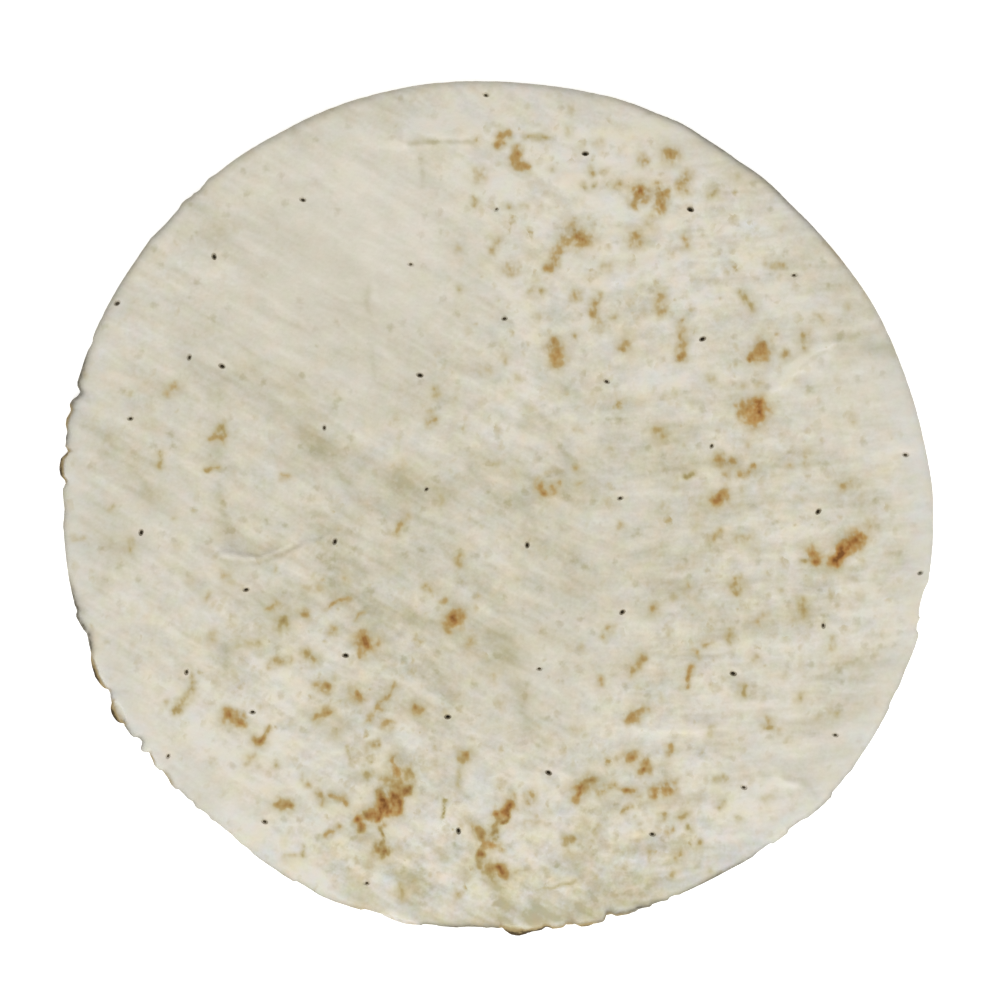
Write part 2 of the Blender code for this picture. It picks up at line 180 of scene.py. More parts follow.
# Hollows between the pillows of dough, in millimetres: how much, half width, and the line. They sink the skin
# and darken its colour: partly damper dough, partly painted shade.
HOLLOWS = (
    (0.7, 4.0, (-101, 97.5), (-97, 98)), (0.35, 4.5, (-96, 98), (-81, 103)),
    (0.9, 4.0, (-67, 138), (-62, 138.5)), (0.6, 1.8, (-29, 129.5), (-15, 129), (0, 129)),
    (0.4, 1.6, (-26.5, 124), (-26, 114)), (0.35, 3.0, (17, 111), (32, 104)), (0.4, 3.0, (3.5, 66), (6, 52)),
    (0.3, 2.0, (-46, 76), (-46, 66)), (0.35, 4.5, (-106, 47), (-88, 50)),
    (0.5, 4.5, (-88, 50), (-74, 43), (-66, 34)), (0.7, 3.6, (-66, 33), (-63, 24)),
    (0.5, 3.5, (-63, 23), (-57, 15), (-53, 10)), (0.6, 2.8, (-52, 21), (-41, 17), (-33, 11)),
    (0.6, 3.0, (-32, 10), (-26, 4)), (0.4, 4.5, (-22, 6), (-11, 14), (-1, 17)),
    (0.3, 2.5, (-99, 42), (-99, 10)), (0.55, 2.5, (-98, 4), (-96.5, -3), (-93, -9)),
    (0.5, 2.5, (-92, -11), (-86, -14), (-79, -12)), (0.35, 6.0, (-121, 70), (-115, 62)),
    (0.75, 4.0, (-138, 24), (-137, 20)), (0.45, 4.5, (-128, 11), (-122, 6)), (0.5, 3.0, (-127.5, -11)),
    (0.35, 3.0, (-148, -31), (-139, -27)), (0.6, 3.0, (-69, -2), (-62, -9), (-60, -17)),
    (0.4, 4.5, (-69, -28), (-58, -29)), (0.5, 4.5, (-54, -28), (-50, -30)),
    (0.4, 5.0, (-46, -34), (-34, -40), (-25, -41)), (0.4, 2.6, (-95, -50), (-93, -58)),
    (0.35, 5.0, (-38, -66), (-30, -69)), (0.5, 2.6, (-63, -74), (-61, -80), (-53, -83), (-49, -84)),
    (0.7, 4.0, (-1, -44), (2, -48)), (0.95, 4.0, (4, -53), (7.5, -63)), (0.75, 3.0, (9, -68), (11.5, -77)),
    (0.5, 3.0, (10, 32), (20, 24), (26, 14)), (0.35, 6.0, (46, 32), (60, 34), (72, 38)),
    (0.35, 3.0, (60, 13.5), (80, 17)), (0.35, 4.0, (26, -16), (28, -25)), (0.35, 5.0, (56, -22), (68, -24)),
    (0.4, 5.0, (78, -36), (81, -46)), (0.95, 3.5, (122, 60), (131, 59), (139, 56)),
    (0.5, 4.0, (116, -59), (131, -54), (140, -53)), (0.5, 3.0, (108, -100), (112, -103)),
    (0.5, 1.5, (-13, -87), (-13, -97)), (0.4, 1.6, (38, -108), (38, -118)),
    (0.8, 2.6, (26.5, -126), (27, -139)), (0.6, 2.6, (33.5, -134), (33, -142)),
    (0.8, 2.2, (2.5, -135), (2.5, -145)), (0.5, 2.0, (13, -137), (13, -146)),
    (0.5, 3.0, (-32, -129), (-31, -139)), (0.3, 3.0, (-50, -139), (-49, -146)),
    (0.5, 5.0, (-4, -147), (8, -146), (35, -141), (60, -134), (86, -122)),
    (0.3, 4.0, (-52, -141), (-30, -146), (-6, -147)), (0.22, 20.0, (38, 0), (85, 0)),
    (0.25, 16.0, (-140, 25), (-140, -25)), (0.16, 22.0, (0, -20), (45, -18)),
    (0.13, 20.0, (-75, 0), (-50, 0)), (0.13, 18.0, (-62, -25), (-42, -48)),
)

# Pillows of floury dough that stand a little higher, in the same terms. They also lighten its colour: partly
# paler dough, partly painted light.
PILLOWS = (
    (0.6, 3.0, (-30, 134), (-14, 135)), (0.6, 4.0, (0, 118)), (0.4, 4.0, (-14, 115)),
    (0.55, 3.0, (12, 125.5), (22, 117.5), (33, 110)), (0.5, 2.5, (4.5, 79), (8, 70), (11, 61)),
    (0.35, 9.0, (-38, 100), (-28, 98)), (0.9, 1.3, (98, 44), (107.5, 53.5), (117, 58.5)),
    (0.45, 4.0, (56, 46), (73, 50)), (0.3, 4.0, (44, 41), (50, 43)), (0.55, 5.0, (68, 76), (73, 76)),
    (0.55, 4.0, (70, 107)), (0.4, 11.0, (122, 37), (135, 42)), (0.5, 3.0, (142, 22), (149, 22)),
    (0.5, 3.0, (-146, -22), (-144, -25)), (0.35, 4.0, (-141, -34)), (0.3, 5.0, (-117, -9)),
    (0.6, 5.0, (-112, -72), (-107, -78)), (0.4, 5.0, (-99, -91), (-90, -96)),
    (0.5, 5.0, (-70, -110), (-56, -113)), (0.6, 2.2, (-41, -113), (-36, -116)),
    (0.55, 4.0, (4, -90), (14, -97)), (0.4, 5.0, (13, -108)), (0.25, 8.0, (22, -60), (30, -58)),
    (0.35, 8.0, (80, -105), (95, -103)), (0.55, 45.0, (-60, 130), (60, 130)),
    (0.35, 26.0, (62, 118), (100, 66), (95, 52)), (0.25, 16.0, (-84, -52), (-58, -58)),
    (0.25, 20.0, (-45, -102), (-10, -88)), (0.3, 20.0, (-115, -75), (-80, -110)),
    (0.18, 22.0, (108, -72), (85, -100)), (0.25, 20.0, (10, 118), (16, 78)),
    (0.35, 16.0, (142, 20), (135, -40)), (0.3, 24.0, (-112, 60), (-120, -30)),
    (0.22, 17.0, (62, -100), (84, -74)), (0.18, 13.0, (-88, -98)), (0.2, 13.0, (-87, -50)),
)
DRIFT_POWER = 1.4  # how squarely they end
DRIFT_LIMIT = 1.2
DRIFT_STIR = 0.0014
DRIFT_STIR_SIZE = 0.008
DRIFT_SEED = Vector((8.1, 2.2, 5.7))
DRIFT_BAND = (0.002, 0.008)  # how far inside the outline they start, and over what width
PILLOW_RISE = 0.00025
HOLLOW_DEPTH = 0.00030

# Narrow creases of the skin, and narrow ridges where the amount is below nought, in the same terms. They sink
# and raise the skin, and in the colour they are painted shade in the creases and painted highlight on the
# ridges.
CREASES = (
    (1.0, 0.8, (-31, 128.6), (-26, 129.2), (-18, 129.5), (-8, 129.3)),
    (-0.8, 1.6, (-31, 132.8), (-12, 132.2)), (0.5, 0.8, (-27, 125), (-26, 121), (-26.5, 114)),
    (-0.5, 0.7, (-32.5, 135), (-33, 128), (-29, 124.5)),
    (0.35, 0.8, (-20.5, 103), (-20, 93.5), (-14, 92), (-10.5, 90), (-11, 85)),
    (0.45, 1.0, (-45, 80), (-46, 72), (-43, 64)), (-0.45, 1.6, (-43.5, 79), (-43, 74)),
    (-0.45, 0.7, (-64, 81), (-58, 76.5), (-52, 74)), (0.35, 0.7, (-61, 77.5), (-54, 73), (-46, 72.5)),
    (0.45, 0.8, (-88, 75), (-82, 68.5), (-76, 67), (-69, 64)),
    (0.35, 1.2, (-96, 46), (-88, 49.5), (-80, 45.5), (-76, 43)),
    (-0.35, 0.7, (-67, 46), (-63, 44), (-61.5, 38)), (0.3, 1.2, (-78, 38), (-70, 32), (-68, 26)),
    (0.4, 1.0, (-63, 20), (-57, 14), (-53, 9)), (0.5, 0.7, (-97.5, 41), (-98.5, 36)),
    (0.7, 0.9, (-98, 10), (-97, 3), (-96, -2)), (0.4, 0.7, (-94, 15), (-91.5, 7)),
    (0.45, 1.0, (-129, 15), (-124, 9), (-122, 4)), (-0.35, 2.5, (-116, 19.5), (-109, 17)),
    (0.45, 0.8, (-38.5, 8), (-35, 14), (-30, 14)), (0.35, 0.8, (-44, 58), (-43, 45)),
    (0.3, 0.8, (-54, 57), (-49, 56)), (0.6, 0.8, (3, 133), (12, 131.6), (19, 130.5)),
    (-0.6, 1.3, (5, 134.5), (13, 134)), (0.5, 1.6, (6, 127), (10, 121), (14, 116), (20, 112)),
    (0.3, 2.2, (20, 112), (33, 106), (38, 103)), (0.4, 1.6, (38.5, 99), (38, 90)),
    (-1.2, 0.8, (97, 42), (101, 46.5), (106, 51.5), (112, 56), (119, 58.5)),
    (-0.5, 1.5, (96, 41.5), (103, 48.5)), (0.6, 0.9, (111, 59.2), (120, 59.8)),
    (0.6, 0.8, (107, 49.5), (114, 54.5), (119, 57)), (0.5, 0.8, (98, 40.5), (103, 38.3), (107, 36)),
    (0.6, 0.8, (10, 35), (11, 31), (18, 27), (23, 22), (27, 16), (29, 12)), (0.25, 1.0, (0, 37), (9, 33.5)),
    (0.5, 0.9, (38, 37), (42, 33), (46, 30)), (0.3, 1.0, (40, 38), (50, 38.3)),
    (0.45, 0.9, (52, 13.5), (62, 12.8), (70, 16.3), (82, 17.5)),
    (0.35, 0.9, (90, 95), (92, 90), (97, 86), (102, 85)), (0.3, 0.8, (89, 68), (94, 62.5), (103, 61)),
    (0.35, 0.8, (58, 54), (62, 49.5)), (-0.6, 2.0, (126, 65), (133, 66.5)),
    (0.5, 1.2, (120, 62), (129, 61), (135, 63.5)), (-0.7, 1.6, (142, 22.5), (149, 22)),
    (-0.9, 0.7, (-99, -13.5), (-93, -16.5), (-85, -17.3), (-78, -15.2), (-73, -12.8)),
    (0.8, 0.7, (-97, -17.8), (-89, -19.2), (-83, -18.9), (-76, -16.2), (-70, -13)),
    (-0.5, 0.7, (-66, -4), (-60, -3.8), (-54, -6.5)), (0.35, 0.8, (-66, -1.5), (-60, -1.8)),
    (0.45, 0.7, (-62.5, -8), (-61, -14), (-60, -21)), (0.4, 1.2, (-147, -31), (-142, -29.5), (-139, -28)),
    (0.35, 0.7, (-140, -28), (-137.5, -20), (-136, -10)), (0.4, 1.0, (-96, -47), (-95, -60)),
    (0.45, 1.3, (-63, -76), (-58, -79.5), (-53, -83), (-50.5, -88), (-50, -94)),
    (0.3, 0.8, (-61, -126), (-50, -127)), (0.8, 0.7, (-17.5, -103), (-19, -106), (-19.5, -110)),
    (0.3, 1.2, (-13, -84), (-13.5, -98)), (0.35, 0.7, (-20, 1), (-19.5, -2), (-14, -4), (-7, -5)),
    (0.35, 0.7, (-4, -19.5), (8, -20.4)), (0.4, 0.9, (24, -20), (29, -25.5), (34, -27)),
    (0.25, 0.9, (3, -31), (13, -34), (22, -35.5)), (0.4, 1.6, (9, -67), (10, -72), (12, -78)),
    (0.55, 0.8, (51, -50), (57, -51), (62, -52), (70, -51.5), (80, -52.3)),
    (-0.8, 0.7, (50, -77.3), (62, -78), (75, -78.6)), (0.35, 0.8, (76, -84), (84, -88.5)),
    (0.4, 0.7, (112, -59.8), (121, -56), (128, -52.5), (135, -51.3)),
    (0.3, 0.7, (112, -63), (122, -60.5), (136, -61)),
    (0.9, 0.9, (101, -94.5), (107.5, -95), (110.5, -98), (113, -101)), (-0.8, 1.0, (97, -96), (105, -97.3)),
    (0.35, 0.7, (91, -11.6), (98, -11.8)), (-0.4, 0.7, (91, -13), (99, -13.3)),
    (1.0, 0.7, (14, -134.4), (19, -133.8), (22, -133), (27.5, -131.3)),
    (0.8, 1.2, (29.3, -135), (29.3, -141)), (0.9, 1.5, (0.5, -131), (0.5, -136), (3, -140)),
    (0.6, 1.2, (14, -138), (17, -143)), (-0.6, 2.5, (4, -132.5), (8, -137)),
    (-0.6, 2.5, (-7, -131), (-4, -136)), (0.5, 1.2, (-34, -131), (-34, -139)),
)
CREASE_DEPTH = 0.00020
STROKE_FALL = 0.69  # a stroke has half its amount left at its half width
STROKE_REACH = 3.2  # half widths within which it is worked out

# ---------------------------------------------------------------------------------------------
# The docker's pins
# ---------------------------------------------------------------------------------------------

# The pins stand in a slanted lattice with every other pin missing from alternate rows.
PIN_START = np.array((0.0112, -0.0147))
PIN_STEP = np.array((0.03607, -0.02169))
ROW_STEP = np.array((0.03230, 0.01849))
PIN_RANGE = range(-9, 10)
PIN_RIM_GAP = 0.0025

# How far the dough had crept from under a pin: column and row, and the shift.
PIN_CREEP = {
    (0, -4): (0.002, 0.0015), (0, -3): (-0.0005, -0.0015), (-1, -2): (0.001, 0.0015),
    (2, -2): (-0.0005, 0.002), (3, -2): (0.0, 0.002), (1, -1): (0.0, -0.0015), (-4, 0): (-0.001, 0.0005),
    (0, 0): (-0.0005, 0.002), (1, 0): (-0.003, 0.0), (-4, 1): (0.001, -0.0015), (-2, 1): (0.0015, 0.0),
    (2, 1): (-0.0005, -0.0015), (-3, 2): (0.002, -0.001), (-2, 2): (-0.001, 0.0015),
    (-1, 2): (-0.001, 0.001), (1, 2): (0.0015, -0.0015), (2, 2): (0.0015, -0.0015),
    (-1, 3): (0.0005, -0.0025), (-3, 4): (-0.001, 0.001), (-2, 4): (0.0, 0.003), (-1, 4): (0.0005, 0.0015),
}

# Pins that met springy dough and left a shallower, softer hole: column and row, how much of it.
SHALLOW_PINS = {
    (-3, 3): 0.35, (-3, 2): 0.4, (0, -4): 0.45, (2, -4): 0.45, (3, 0): 0.5, (-1, 4): 0.5, (1, -1): 0.5,
    (3, -1): 0.55, (-1, 0): 0.6, (1, -4): 0.6, (-4, 4): 0.6, (0, 2): 0.6, (1, 3): 0.6, (-3, -1): 0.65,
    (2, 2): 0.65, (0, -3): 0.65, (-2, 0): 0.65, (2, 1): 0.65, (-1, 2): 0.65, (0, 1): 0.65, (-2, 2): 0.7,
    (3, -2): 0.7, (-1, -2): 0.75, (-4, 2): 0.75,
}

# Pins away from the lattice.
STRAY_PINS = ((-0.1085, 0.0535), (-0.1095, -0.0575))
STRAY_GRIP = 0.7

DIMPLE_DEPTH = 0.00025  # the skin that a pin drew down with it
DIMPLE_RADIUS = 0.0026
LIP_RISE = 0.00028  # the skin that it pushed up as it left
LIP_RADIUS = 0.0013
LIP_PLACE = np.array((0.0011, 0.0021))
PIN_LEAN = (-0.45, 1.9)  # the holes are drawn out along these bearings, in radians
PIN_WIDE = 1.22
PIN_NARROW = 0.84
PIN_SEED = 12
PIN_SIDES = 14
PIN_TAPER = 0.45
PIN_COLLAR_DEPTH = 0.0008
SHALLOW_WIDTH = 0.75  # how wide the shallowest hole is, in parts of a full one

# ---------------------------------------------------------------------------------------------
# Where the oven marked the dough
# ---------------------------------------------------------------------------------------------

# Toasted marks, in millimetres: strength, half width, how golden (0 orange, 1 olive), and the way
# each one runs.
TOAST_MARKS = (
    # the back
    (0.6, 1.5, 0.2, (3.5, 132), (1.5, 131), (0.8, 129)), (0.6, 1.5, 0.2, (7, 127), (6.5, 122), (10, 120.5)),
    (0.3, 0.9, 0.7, (10, 131.3), (19, 130.5)), (0.2, 1.5, 0.5, (25, 133)), (0.2, 1.5, 0.5, (35, 129)),
    (0.45, 2.2, 0.3, (-6, 117.5)), (0.4, 1.5, 0.4, (33, 119)), (0.35, 1.2, 0.4, (37.5, 119)),
    (0.35, 1.2, 0.8, (31, 114)), (0.35, 1.2, 0.8, (34, 113.8)), (0.4, 2.0, 0.4, (42.5, 114.7)),
    (0.25, 1.0, 0.9, (19.5, 119.7)), (0.2, 1.0, 0.5, (-8, 110.5), (-8, 107)), (0.2, 1.3, 0.5, (4.8, 106.7)),
    (0.2, 1.3, 0.5, (10, 106.5)), (0.3, 1.0, 0.5, (27.5, 102.5)),
    (0.55, 3.6, 0.3, (26.5, 96), (29.5, 95.5)), (0.8, 1.5, 0.2, (28.5, 95.5), (29.8, 94.6)),
    (0.5, 2.0, 0.2, (22, 92), (18.5, 85)), (0.3, 1.5, 0.4, (0, 95), (-1.5, 90.5)),
    (0.2, 1.5, 0.4, (-14, 92)), (0.4, 2.3, 0.3, (5, 84.5)), (0.25, 2.0, 0.4, (39, 85.5)),
    (0.3, 1.2, 0.9, (-13, 77)), (0.35, 1.3, 0.6, (12, 77)), (0.35, 1.2, 0.6, (16, 76.3)),
    (0.4, 2.0, 0.3, (28, 75.3)), (0.4, 1.5, 0.3, (35.5, 75), (33.5, 71)),
    (0.4, 1.6, 0.3, (34, 69), (36, 63)), (0.25, 1.5, 0.5, (41, 67.5)), (0.2, 1.5, 0.5, (14, 67)),
    (0.25, 1.5, 0.5, (27.5, 60.7)), (0.65, 2.4, 0.2, (20, 58), (21.5, 53)), (0.5, 2.3, 0.3, (45.5, 57.7)),
    (0.2, 1.5, 0.5, (3, 53)), (0.3, 1.3, 0.2, (-3.3, 48.7)), (0.45, 1.3, 0.3, (21, 50)),
    # the back right
    (0.75, 2.9, 0.1, (50.5, 111.5)), (0.9, 1.3, 0.1, (50.6, 111.2)),
    (0.5, 1.4, 0.3, (50, 109.5), (48.7, 107)), (0.7, 1.8, 0.2, (57.5, 113), (59, 110), (57, 105.5)),
    (0.25, 2.0, 0.4, (55, 103), (54, 101)), (0.5, 1.8, 0.3, (51.8, 122.7)), (0.55, 2.8, 0.3, (61.3, 124.3)),
    (0.5, 2.1, 0.3, (67, 117), (65.5, 113)), (0.35, 2.0, 0.7, (76.5, 111.5)), (0.15, 2.0, 0.8, (84.5, 118)),
    (0.45, 3.0, 0.3, (49, 95)), (0.3, 1.6, 0.2, (67, 97), (66, 92.5)),
    (0.45, 1.8, 0.3, (57.5, 75), (58, 70)), (0.2, 1.5, 0.4, (51.5, 69)),
    (0.35, 1.5, 0.7, (86, 76.5), (90, 70.5)), (0.45, 1.6, 0.3, (65, 66), (65.5, 60), (65, 54)),
    (0.6, 1.8, 0.3, (65, 54)), (0.75, 2.8, 0.1, (93, 56.2), (92.5, 55)),
    (0.6, 1.4, 0.3, (91.5, 54.5), (90, 53)), (0.45, 1.5, 0.3, (102, 54.5)),
    (0.4, 1.8, 0.5, (108, 61), (108, 57)), (0.2, 1.5, 0.4, (96, 86), (101, 86)), (0.2, 1.5, 0.4, (114, 68)),
    (0.2, 1.3, 0.4, (123.5, 71)),
    # the right
    (0.2, 1.8, 0.7, (75.8, 46)), (0.2, 1.5, 0.6, (86.8, 43)), (0.2, 1.5, 0.6, (92.7, 43.8)),
    (0.8, 3.3, 0.0, (91.8, 35.5), (91, 32.5)), (1.05, 1.5, 0.0, (91.5, 36.5), (92.8, 34.5)),
    (0.55, 2.6, 0.2, (86.5, 35)), (0.55, 2.2, 0.5, (57.5, 26.9)), (0.2, 1.0, 0.9, (65.9, 22.5)),
    (0.2, 1.5, 0.4, (88.3, 22.5)), (0.45, 2.2, 0.3, (79.5, 17), (83, 16.5)), (0.2, 1.8, 0.6, (77.0, 17)),
    (0.5, 1.3, 0.3, (81.3, 12)), (0.55, 1.4, 0.3, (85.5, 12.3), (89.5, 12.5), (90.3, 14.5)),
    (0.6, 2.4, 0.2, (77.5, 3.2), (80, 4.5)), (0.2, 1.2, 0.8, (86.4, 6)),
    (0.45, 1.1, 0.9, (67.0, 11.8), (69.2, 12.2)), (0.25, 1.6, 0.4, (103, 15.2)),
    (0.3, 1.5, 0.4, (108.8, 19.5), (108.8, 16)), (0.35, 1.7, 0.4, (122.8, 8.0), (124.8, 8.6)),
    (0.15, 1.5, 0.9, (107, 4.2)), (0.8, 2.8, 0.0, (126.5, -10.5), (123.5, -13)),
    (0.95, 2.0, 0.0, (123, -14), (119, -18.5)), (1.15, 0.9, 0.0, (121.5, -15.5), (119.6, -17.8)),
    (0.65, 2.0, 0.1, (128.5, -11), (129, -10.5)), (0.2, 2.0, 0.2, (131, -5)),
    (0.7, 2.0, 0.1, (110.5, -15), (112.8, -18)), (0.35, 1.2, 0.6, (108.3, -18.8)),
    (0.35, 1.3, 0.4, (76, -10.4), (78.8, -8)), (0.25, 1.8, 0.4, (85.5, -10.9), (88.5, -10.9)),
    (0.15, 1.5, 0.7, (70.7, -6.5)), (0.6, 2.0, 0.5, (84.5, -26.5), (84.8, -27.8)),
    (0.35, 0.9, 0.4, (85.7, -24)), (0.35, 1.3, 0.5, (67.3, -28)), (0.3, 1.1, 0.8, (62.1, -31.3)),
    (0.4, 1.6, 0.4, (55.6, -35), (55, -37)), (0.45, 1.9, 0.6, (107.4, -33), (108.2, -36)),
    (0.25, 1.2, 0.6, (105.5, -39.3)), (0.3, 1.3, 0.2, (94, -37.2), (92, -40)),
    (0.25, 1.0, 0.7, (100.4, -28.8)), (0.4, 1.5, 0.4, (75, -46.5), (73.5, -48)),
    (0.25, 1.5, 0.6, (81.3, -43.5), (82.5, -47)), (0.25, 1.3, 0.4, (118.4, -46), (117.6, -49.5)),
    (0.2, 0.9, 0.9, (126.4, -24.8)), (0.2, 1.3, 0.5, (128.2, -30.5)),
    # the left
    (0.3, 2.0, 0.2, (-113.6, 43.2), (-115.7, 41.5)), (0.45, 1.3, 0.7, (-97.2, 29.5), (-97.2, 27)),
    (0.55, 1.5, 0.4, (-99.5, 25.5), (-96.8, 25)),
    (0.35, 1.0, 0.6, (-118.3, 19.5), (-119.2, 17), (-118.6, 15)),
    (0.3, 1.0, 0.5, (-102.5, 14.1), (-98.2, 14.3)), (0.35, 1.3, 0.2, (-75.4, 11), (-74, 10.9)),
    (0.25, 0.9, 0.9, (-136, 0.3)), (0.25, 1.0, 0.7, (-129.3, -11), (-128.9, -15)),
    (0.2, 0.9, 0.5, (-149.5, -10.5), (-146, -9.9)), (0.15, 1.0, 0.6, (-114.3, -3.3)),
    (0.2, 1.0, 0.5, (-113.1, -13.3)), (0.25, 2.4, 0.3, (-95.7, -24.3)), (0.15, 1.2, 0.6, (-108.3, -26)),
    (0.25, 1.3, 0.4, (-103, -30.8), (-101.3, -30.2)), (0.2, 1.0, 0.6, (-77.7, -20.5), (-77.7, -22)),
    (0.2, 1.3, 0.3, (-67, -28.3), (-62, -28.3)), (0.4, 1.3, 0.5, (-78, -33.3), (-80.3, -35.8)),
    (0.55, 2.4, 0.8, (-75.7, -39.5), (-75.9, -41)), (0.5, 1.7, 0.4, (-67.7, -37)),
    (0.5, 1.1, 0.2, (-60, -35), (-56.5, -33), (-52.8, -31.5)),
    (0.5, 1.5, 0.5, (-57.2, -42.4), (-58.4, -43.6)), (0.2, 1.6, 0.3, (-100.3, -45)),
    (0.25, 1.5, 0.8, (-91, -48), (-87, -47.3), (-84, -47.8)), (0.35, 1.2, 0.6, (-21.7, 42), (-21.7, 40)),
    (0.5, 1.5, 0.4, (-24, 30.7), (-22, 31)), (0.3, 1.0, 0.3, (-23.5, 34.3)), (0.15, 1.8, 0.3, (-33, 15)),
    (0.15, 1.2, 0.7, (-19.7, 4.5), (-19.7, 1.5)),
    (0.35, 1.2, 0.4, (-31.5, -2.5), (-33.5, -5.5), (-35.8, -9)), (0.25, 1.5, 0.2, (-53, -25.5)),
    # the middle
    (0.55, 1.6, 0.2, (15, 8.5), (16, 6), (19.5, 7)), (0.5, 1.3, 0.3, (22, 9)), (0.35, 1.3, 0.3, (29.5, 9)),
    (0.25, 1.1, 0.4, (17.5, 12.5), (20, 13.5), (23, 13)), (0.2, 1.2, 0.5, (28, 14)),
    (0.25, 1.1, 0.3, (28.3, 28)), (0.2, 1.3, 0.5, (39.7, 20.7)),
    (0.25, 0.8, 0.9, (-1.2, 15.6), (0.6, 15.7)), (0.4, 1.4, 0.5, (-13.3, -17), (-13.3, -19.8)),
    (0.4, 1.5, 0.5, (-25, -27.6), (-24, -29)), (0.45, 1.2, 0.3, (-18.2, -32), (-19.2, -33.5)),
    (0.8, 2.6, 0.2, (-14.2, -38), (-15.6, -39.5)), (1.0, 1.2, 0.2, (-15.0, -37.8), (-15.5, -39.0)),
    (0.6, 1.4, 0.4, (-16.5, -40.5), (-18, -42.5)), (0.4, 1.2, 0.3, (-8.8, -45.8), (-9.9, -47.8)),
    (0.4, 0.9, 0.3, (-48, -36.8), (-50, -39.8)), (0.75, 2.7, 0.2, (-47, -46.2), (-45.3, -48)),
    (0.92, 1.3, 0.2, (-46.8, -46.0), (-45.4, -46.8)), (0.4, 1.8, 0.3, (-47.5, -51.5)),
    (0.35, 1.2, 0.4, (40, -41.6), (38, -45)), (0.25, 1.7, 0.3, (43.7, -6)), (0.15, 1.0, 0.8, (7.3, -25)),
    (0.2, 1.4, 0.2, (-1.5, -59.6)), (0.2, 1.2, 0.3, (-14.4, -66.1)),
    (0.25, 1.2, 0.2, (36.7, -60.2), (36.7, -62)), (0.2, 1.3, 0.6, (26.5, -78.3), (29.8, -78)),
    # the front left
    (0.55, 2.1, 0.6, (-66.8, -52), (-65.2, -52.6)),
    (0.3, 1.3, 0.5, (-80, -55.5), (-78.5, -53.5), (-76, -54), (-73, -53.3)),
    (0.3, 1.4, 0.6, (-109, -57.5), (-107.3, -61), (-107.5, -64.5), (-110, -67.5)),
    (0.5, 1.6, 0.6, (-112, -69), (-113.3, -71)), (0.2, 1.3, 0.4, (-116, -68.5)),
    (0.5, 1.8, 0.4, (-63, -63), (-60, -63)), (0.7, 2.3, 0.2, (-94.3, -73), (-90.5, -75)),
    (0.6, 1.5, 0.3, (-85.3, -82.6), (-82.7, -81.2)), (0.45, 0.9, 0.4, (-82, -80), (-81, -77.5)),
    (0.25, 1.3, 0.3, (-86, -86.5), (-88.5, -89.8)), (0.25, 1.2, 0.8, (-77.7, -90)),
    (0.45, 1.4, 0.4, (-64.2, -74.5), (-62, -72), (-58.3, -71)), (0.25, 2.3, 0.8, (-57, -79.3)),
    (0.65, 1.8, 0.4, (-76.8, -104), (-74.2, -105), (-72.8, -104.4)),
    (0.25, 1.2, 0.4, (-68.7, -94.7), (-66.5, -97.5)), (0.3, 1.5, 0.5, (-62.8, -100.5), (-61.6, -103.5)),
    (0.45, 1.5, 0.3, (-57.5, -100.8), (-53.5, -103.5)), (0.5, 1.2, 0.3, (-60, -115), (-56.3, -112.6)),
    (0.3, 0.7, 0.9, (-68.2, -119.5), (-68.6, -122)), (0.2, 1.2, 0.4, (-74.5, -122.7), (-70.5, -122.6)),
    (0.6, 2.2, 0.3, (-49.8, -65.5), (-48.5, -66.2)),
    (0.45, 1.3, 0.4, (-35.8, -62), (-38, -64.5), (-39.5, -68), (-42.4, -71)),
    (0.5, 1.3, 0.4, (-44, -72.3), (-45.3, -74.5)), (0.45, 1.3, 0.3, (-40.3, -75.6), (-37, -76.2)),
    (0.5, 1.9, 0.4, (-27.9, -70.4), (-27.3, -71)), (0.5, 1.1, 0.5, (-42.2, -82.6)),
    (0.3, 1.4, 0.4, (-45.8, -84.6), (-43.5, -83.5)), (0.25, 0.9, 0.9, (-53, -84), (-50.5, -90)),
    (0.35, 2.0, 0.4, (-36.1, -87.5)), (0.62, 1.7, 0.1, (-36.5, -89.6), (-35.5, -93.6)),
    (0.5, 1.7, 0.6, (-31.8, -91.1), (-30.6, -95.7), (-31.3, -99)),
    (0.48, 3.2, 0.5, (-38.3, -95.7), (-35.3, -98.1)), (0.7, 1.3, 0.4, (-41.6, -99.3), (-40.8, -101.4)),
    (1.32, 0.9, 0.1, (-40.5, -103), (-40.4, -106)),
    (1.0, 2.0, 0.2, (-39.2, -104.3), (-35, -104.5), (-35.4, -101.8)),
    (0.75, 1.4, 0.4, (-33.1, -100.6), (-31.9, -99.6)), (0.88, 1.8, 0.2, (-41.3, -107.2), (-44.9, -107.8)),
    (0.98, 1.2, 0.1, (-41.8, -109.6)), (0.75, 1.7, 0.1, (-37.7, -107), (-35.6, -106.6)),
    (0.62, 1.3, 0.8, (-46.5, -107.3)), (0.85, 1.4, 0.1, (-48.6, -110), (-47.2, -111.3)),
    (0.6, 1.3, 0.7, (-47.9, -112.8)), (0.35, 1.4, 0.2, (-40.1, -111.2)),
    (0.65, 0.7, 0.7, (-40.5, -112.8), (-40.3, -115.7), (-41.2, -119.3)), (0.4, 3.4, 0.4, (-41, -119.8)),
    (0.55, 1.3, 0.5, (-43, -118.7), (-42.4, -120.3)), (0.75, 1.3, 0.6, (-39.4, -120), (-38.3, -121.1)),
    (0.9, 0.9, 0.7, (-40.7, -122.2)), (0.3, 1.5, 0.3, (-44.5, -125.8)), (0.25, 1.6, 0.7, (-35.4, -119.3)),
    (0.3, 1.2, 0.9, (-47, -132.3)), (0.25, 1.6, 0.7, (-33.8, -133), (-33.6, -137)),
    (0.25, 2.5, 0.8, (-46, -93)),
    # the front
    (0.5, 1.4, 0.6, (-12.6, -88.7), (-11.5, -88.0)), (0.4, 2.4, 0.3, (-10.5, -87)),
    (0.3, 1.0, 0.9, (-12.8, -91), (-13.2, -97.5)),
    (0.55, 0.5, 1.0, (-17.8, -103), (-19.4, -106), (-19.6, -109.5)), (0.25, 1.2, 0.3, (6, -101.4)),
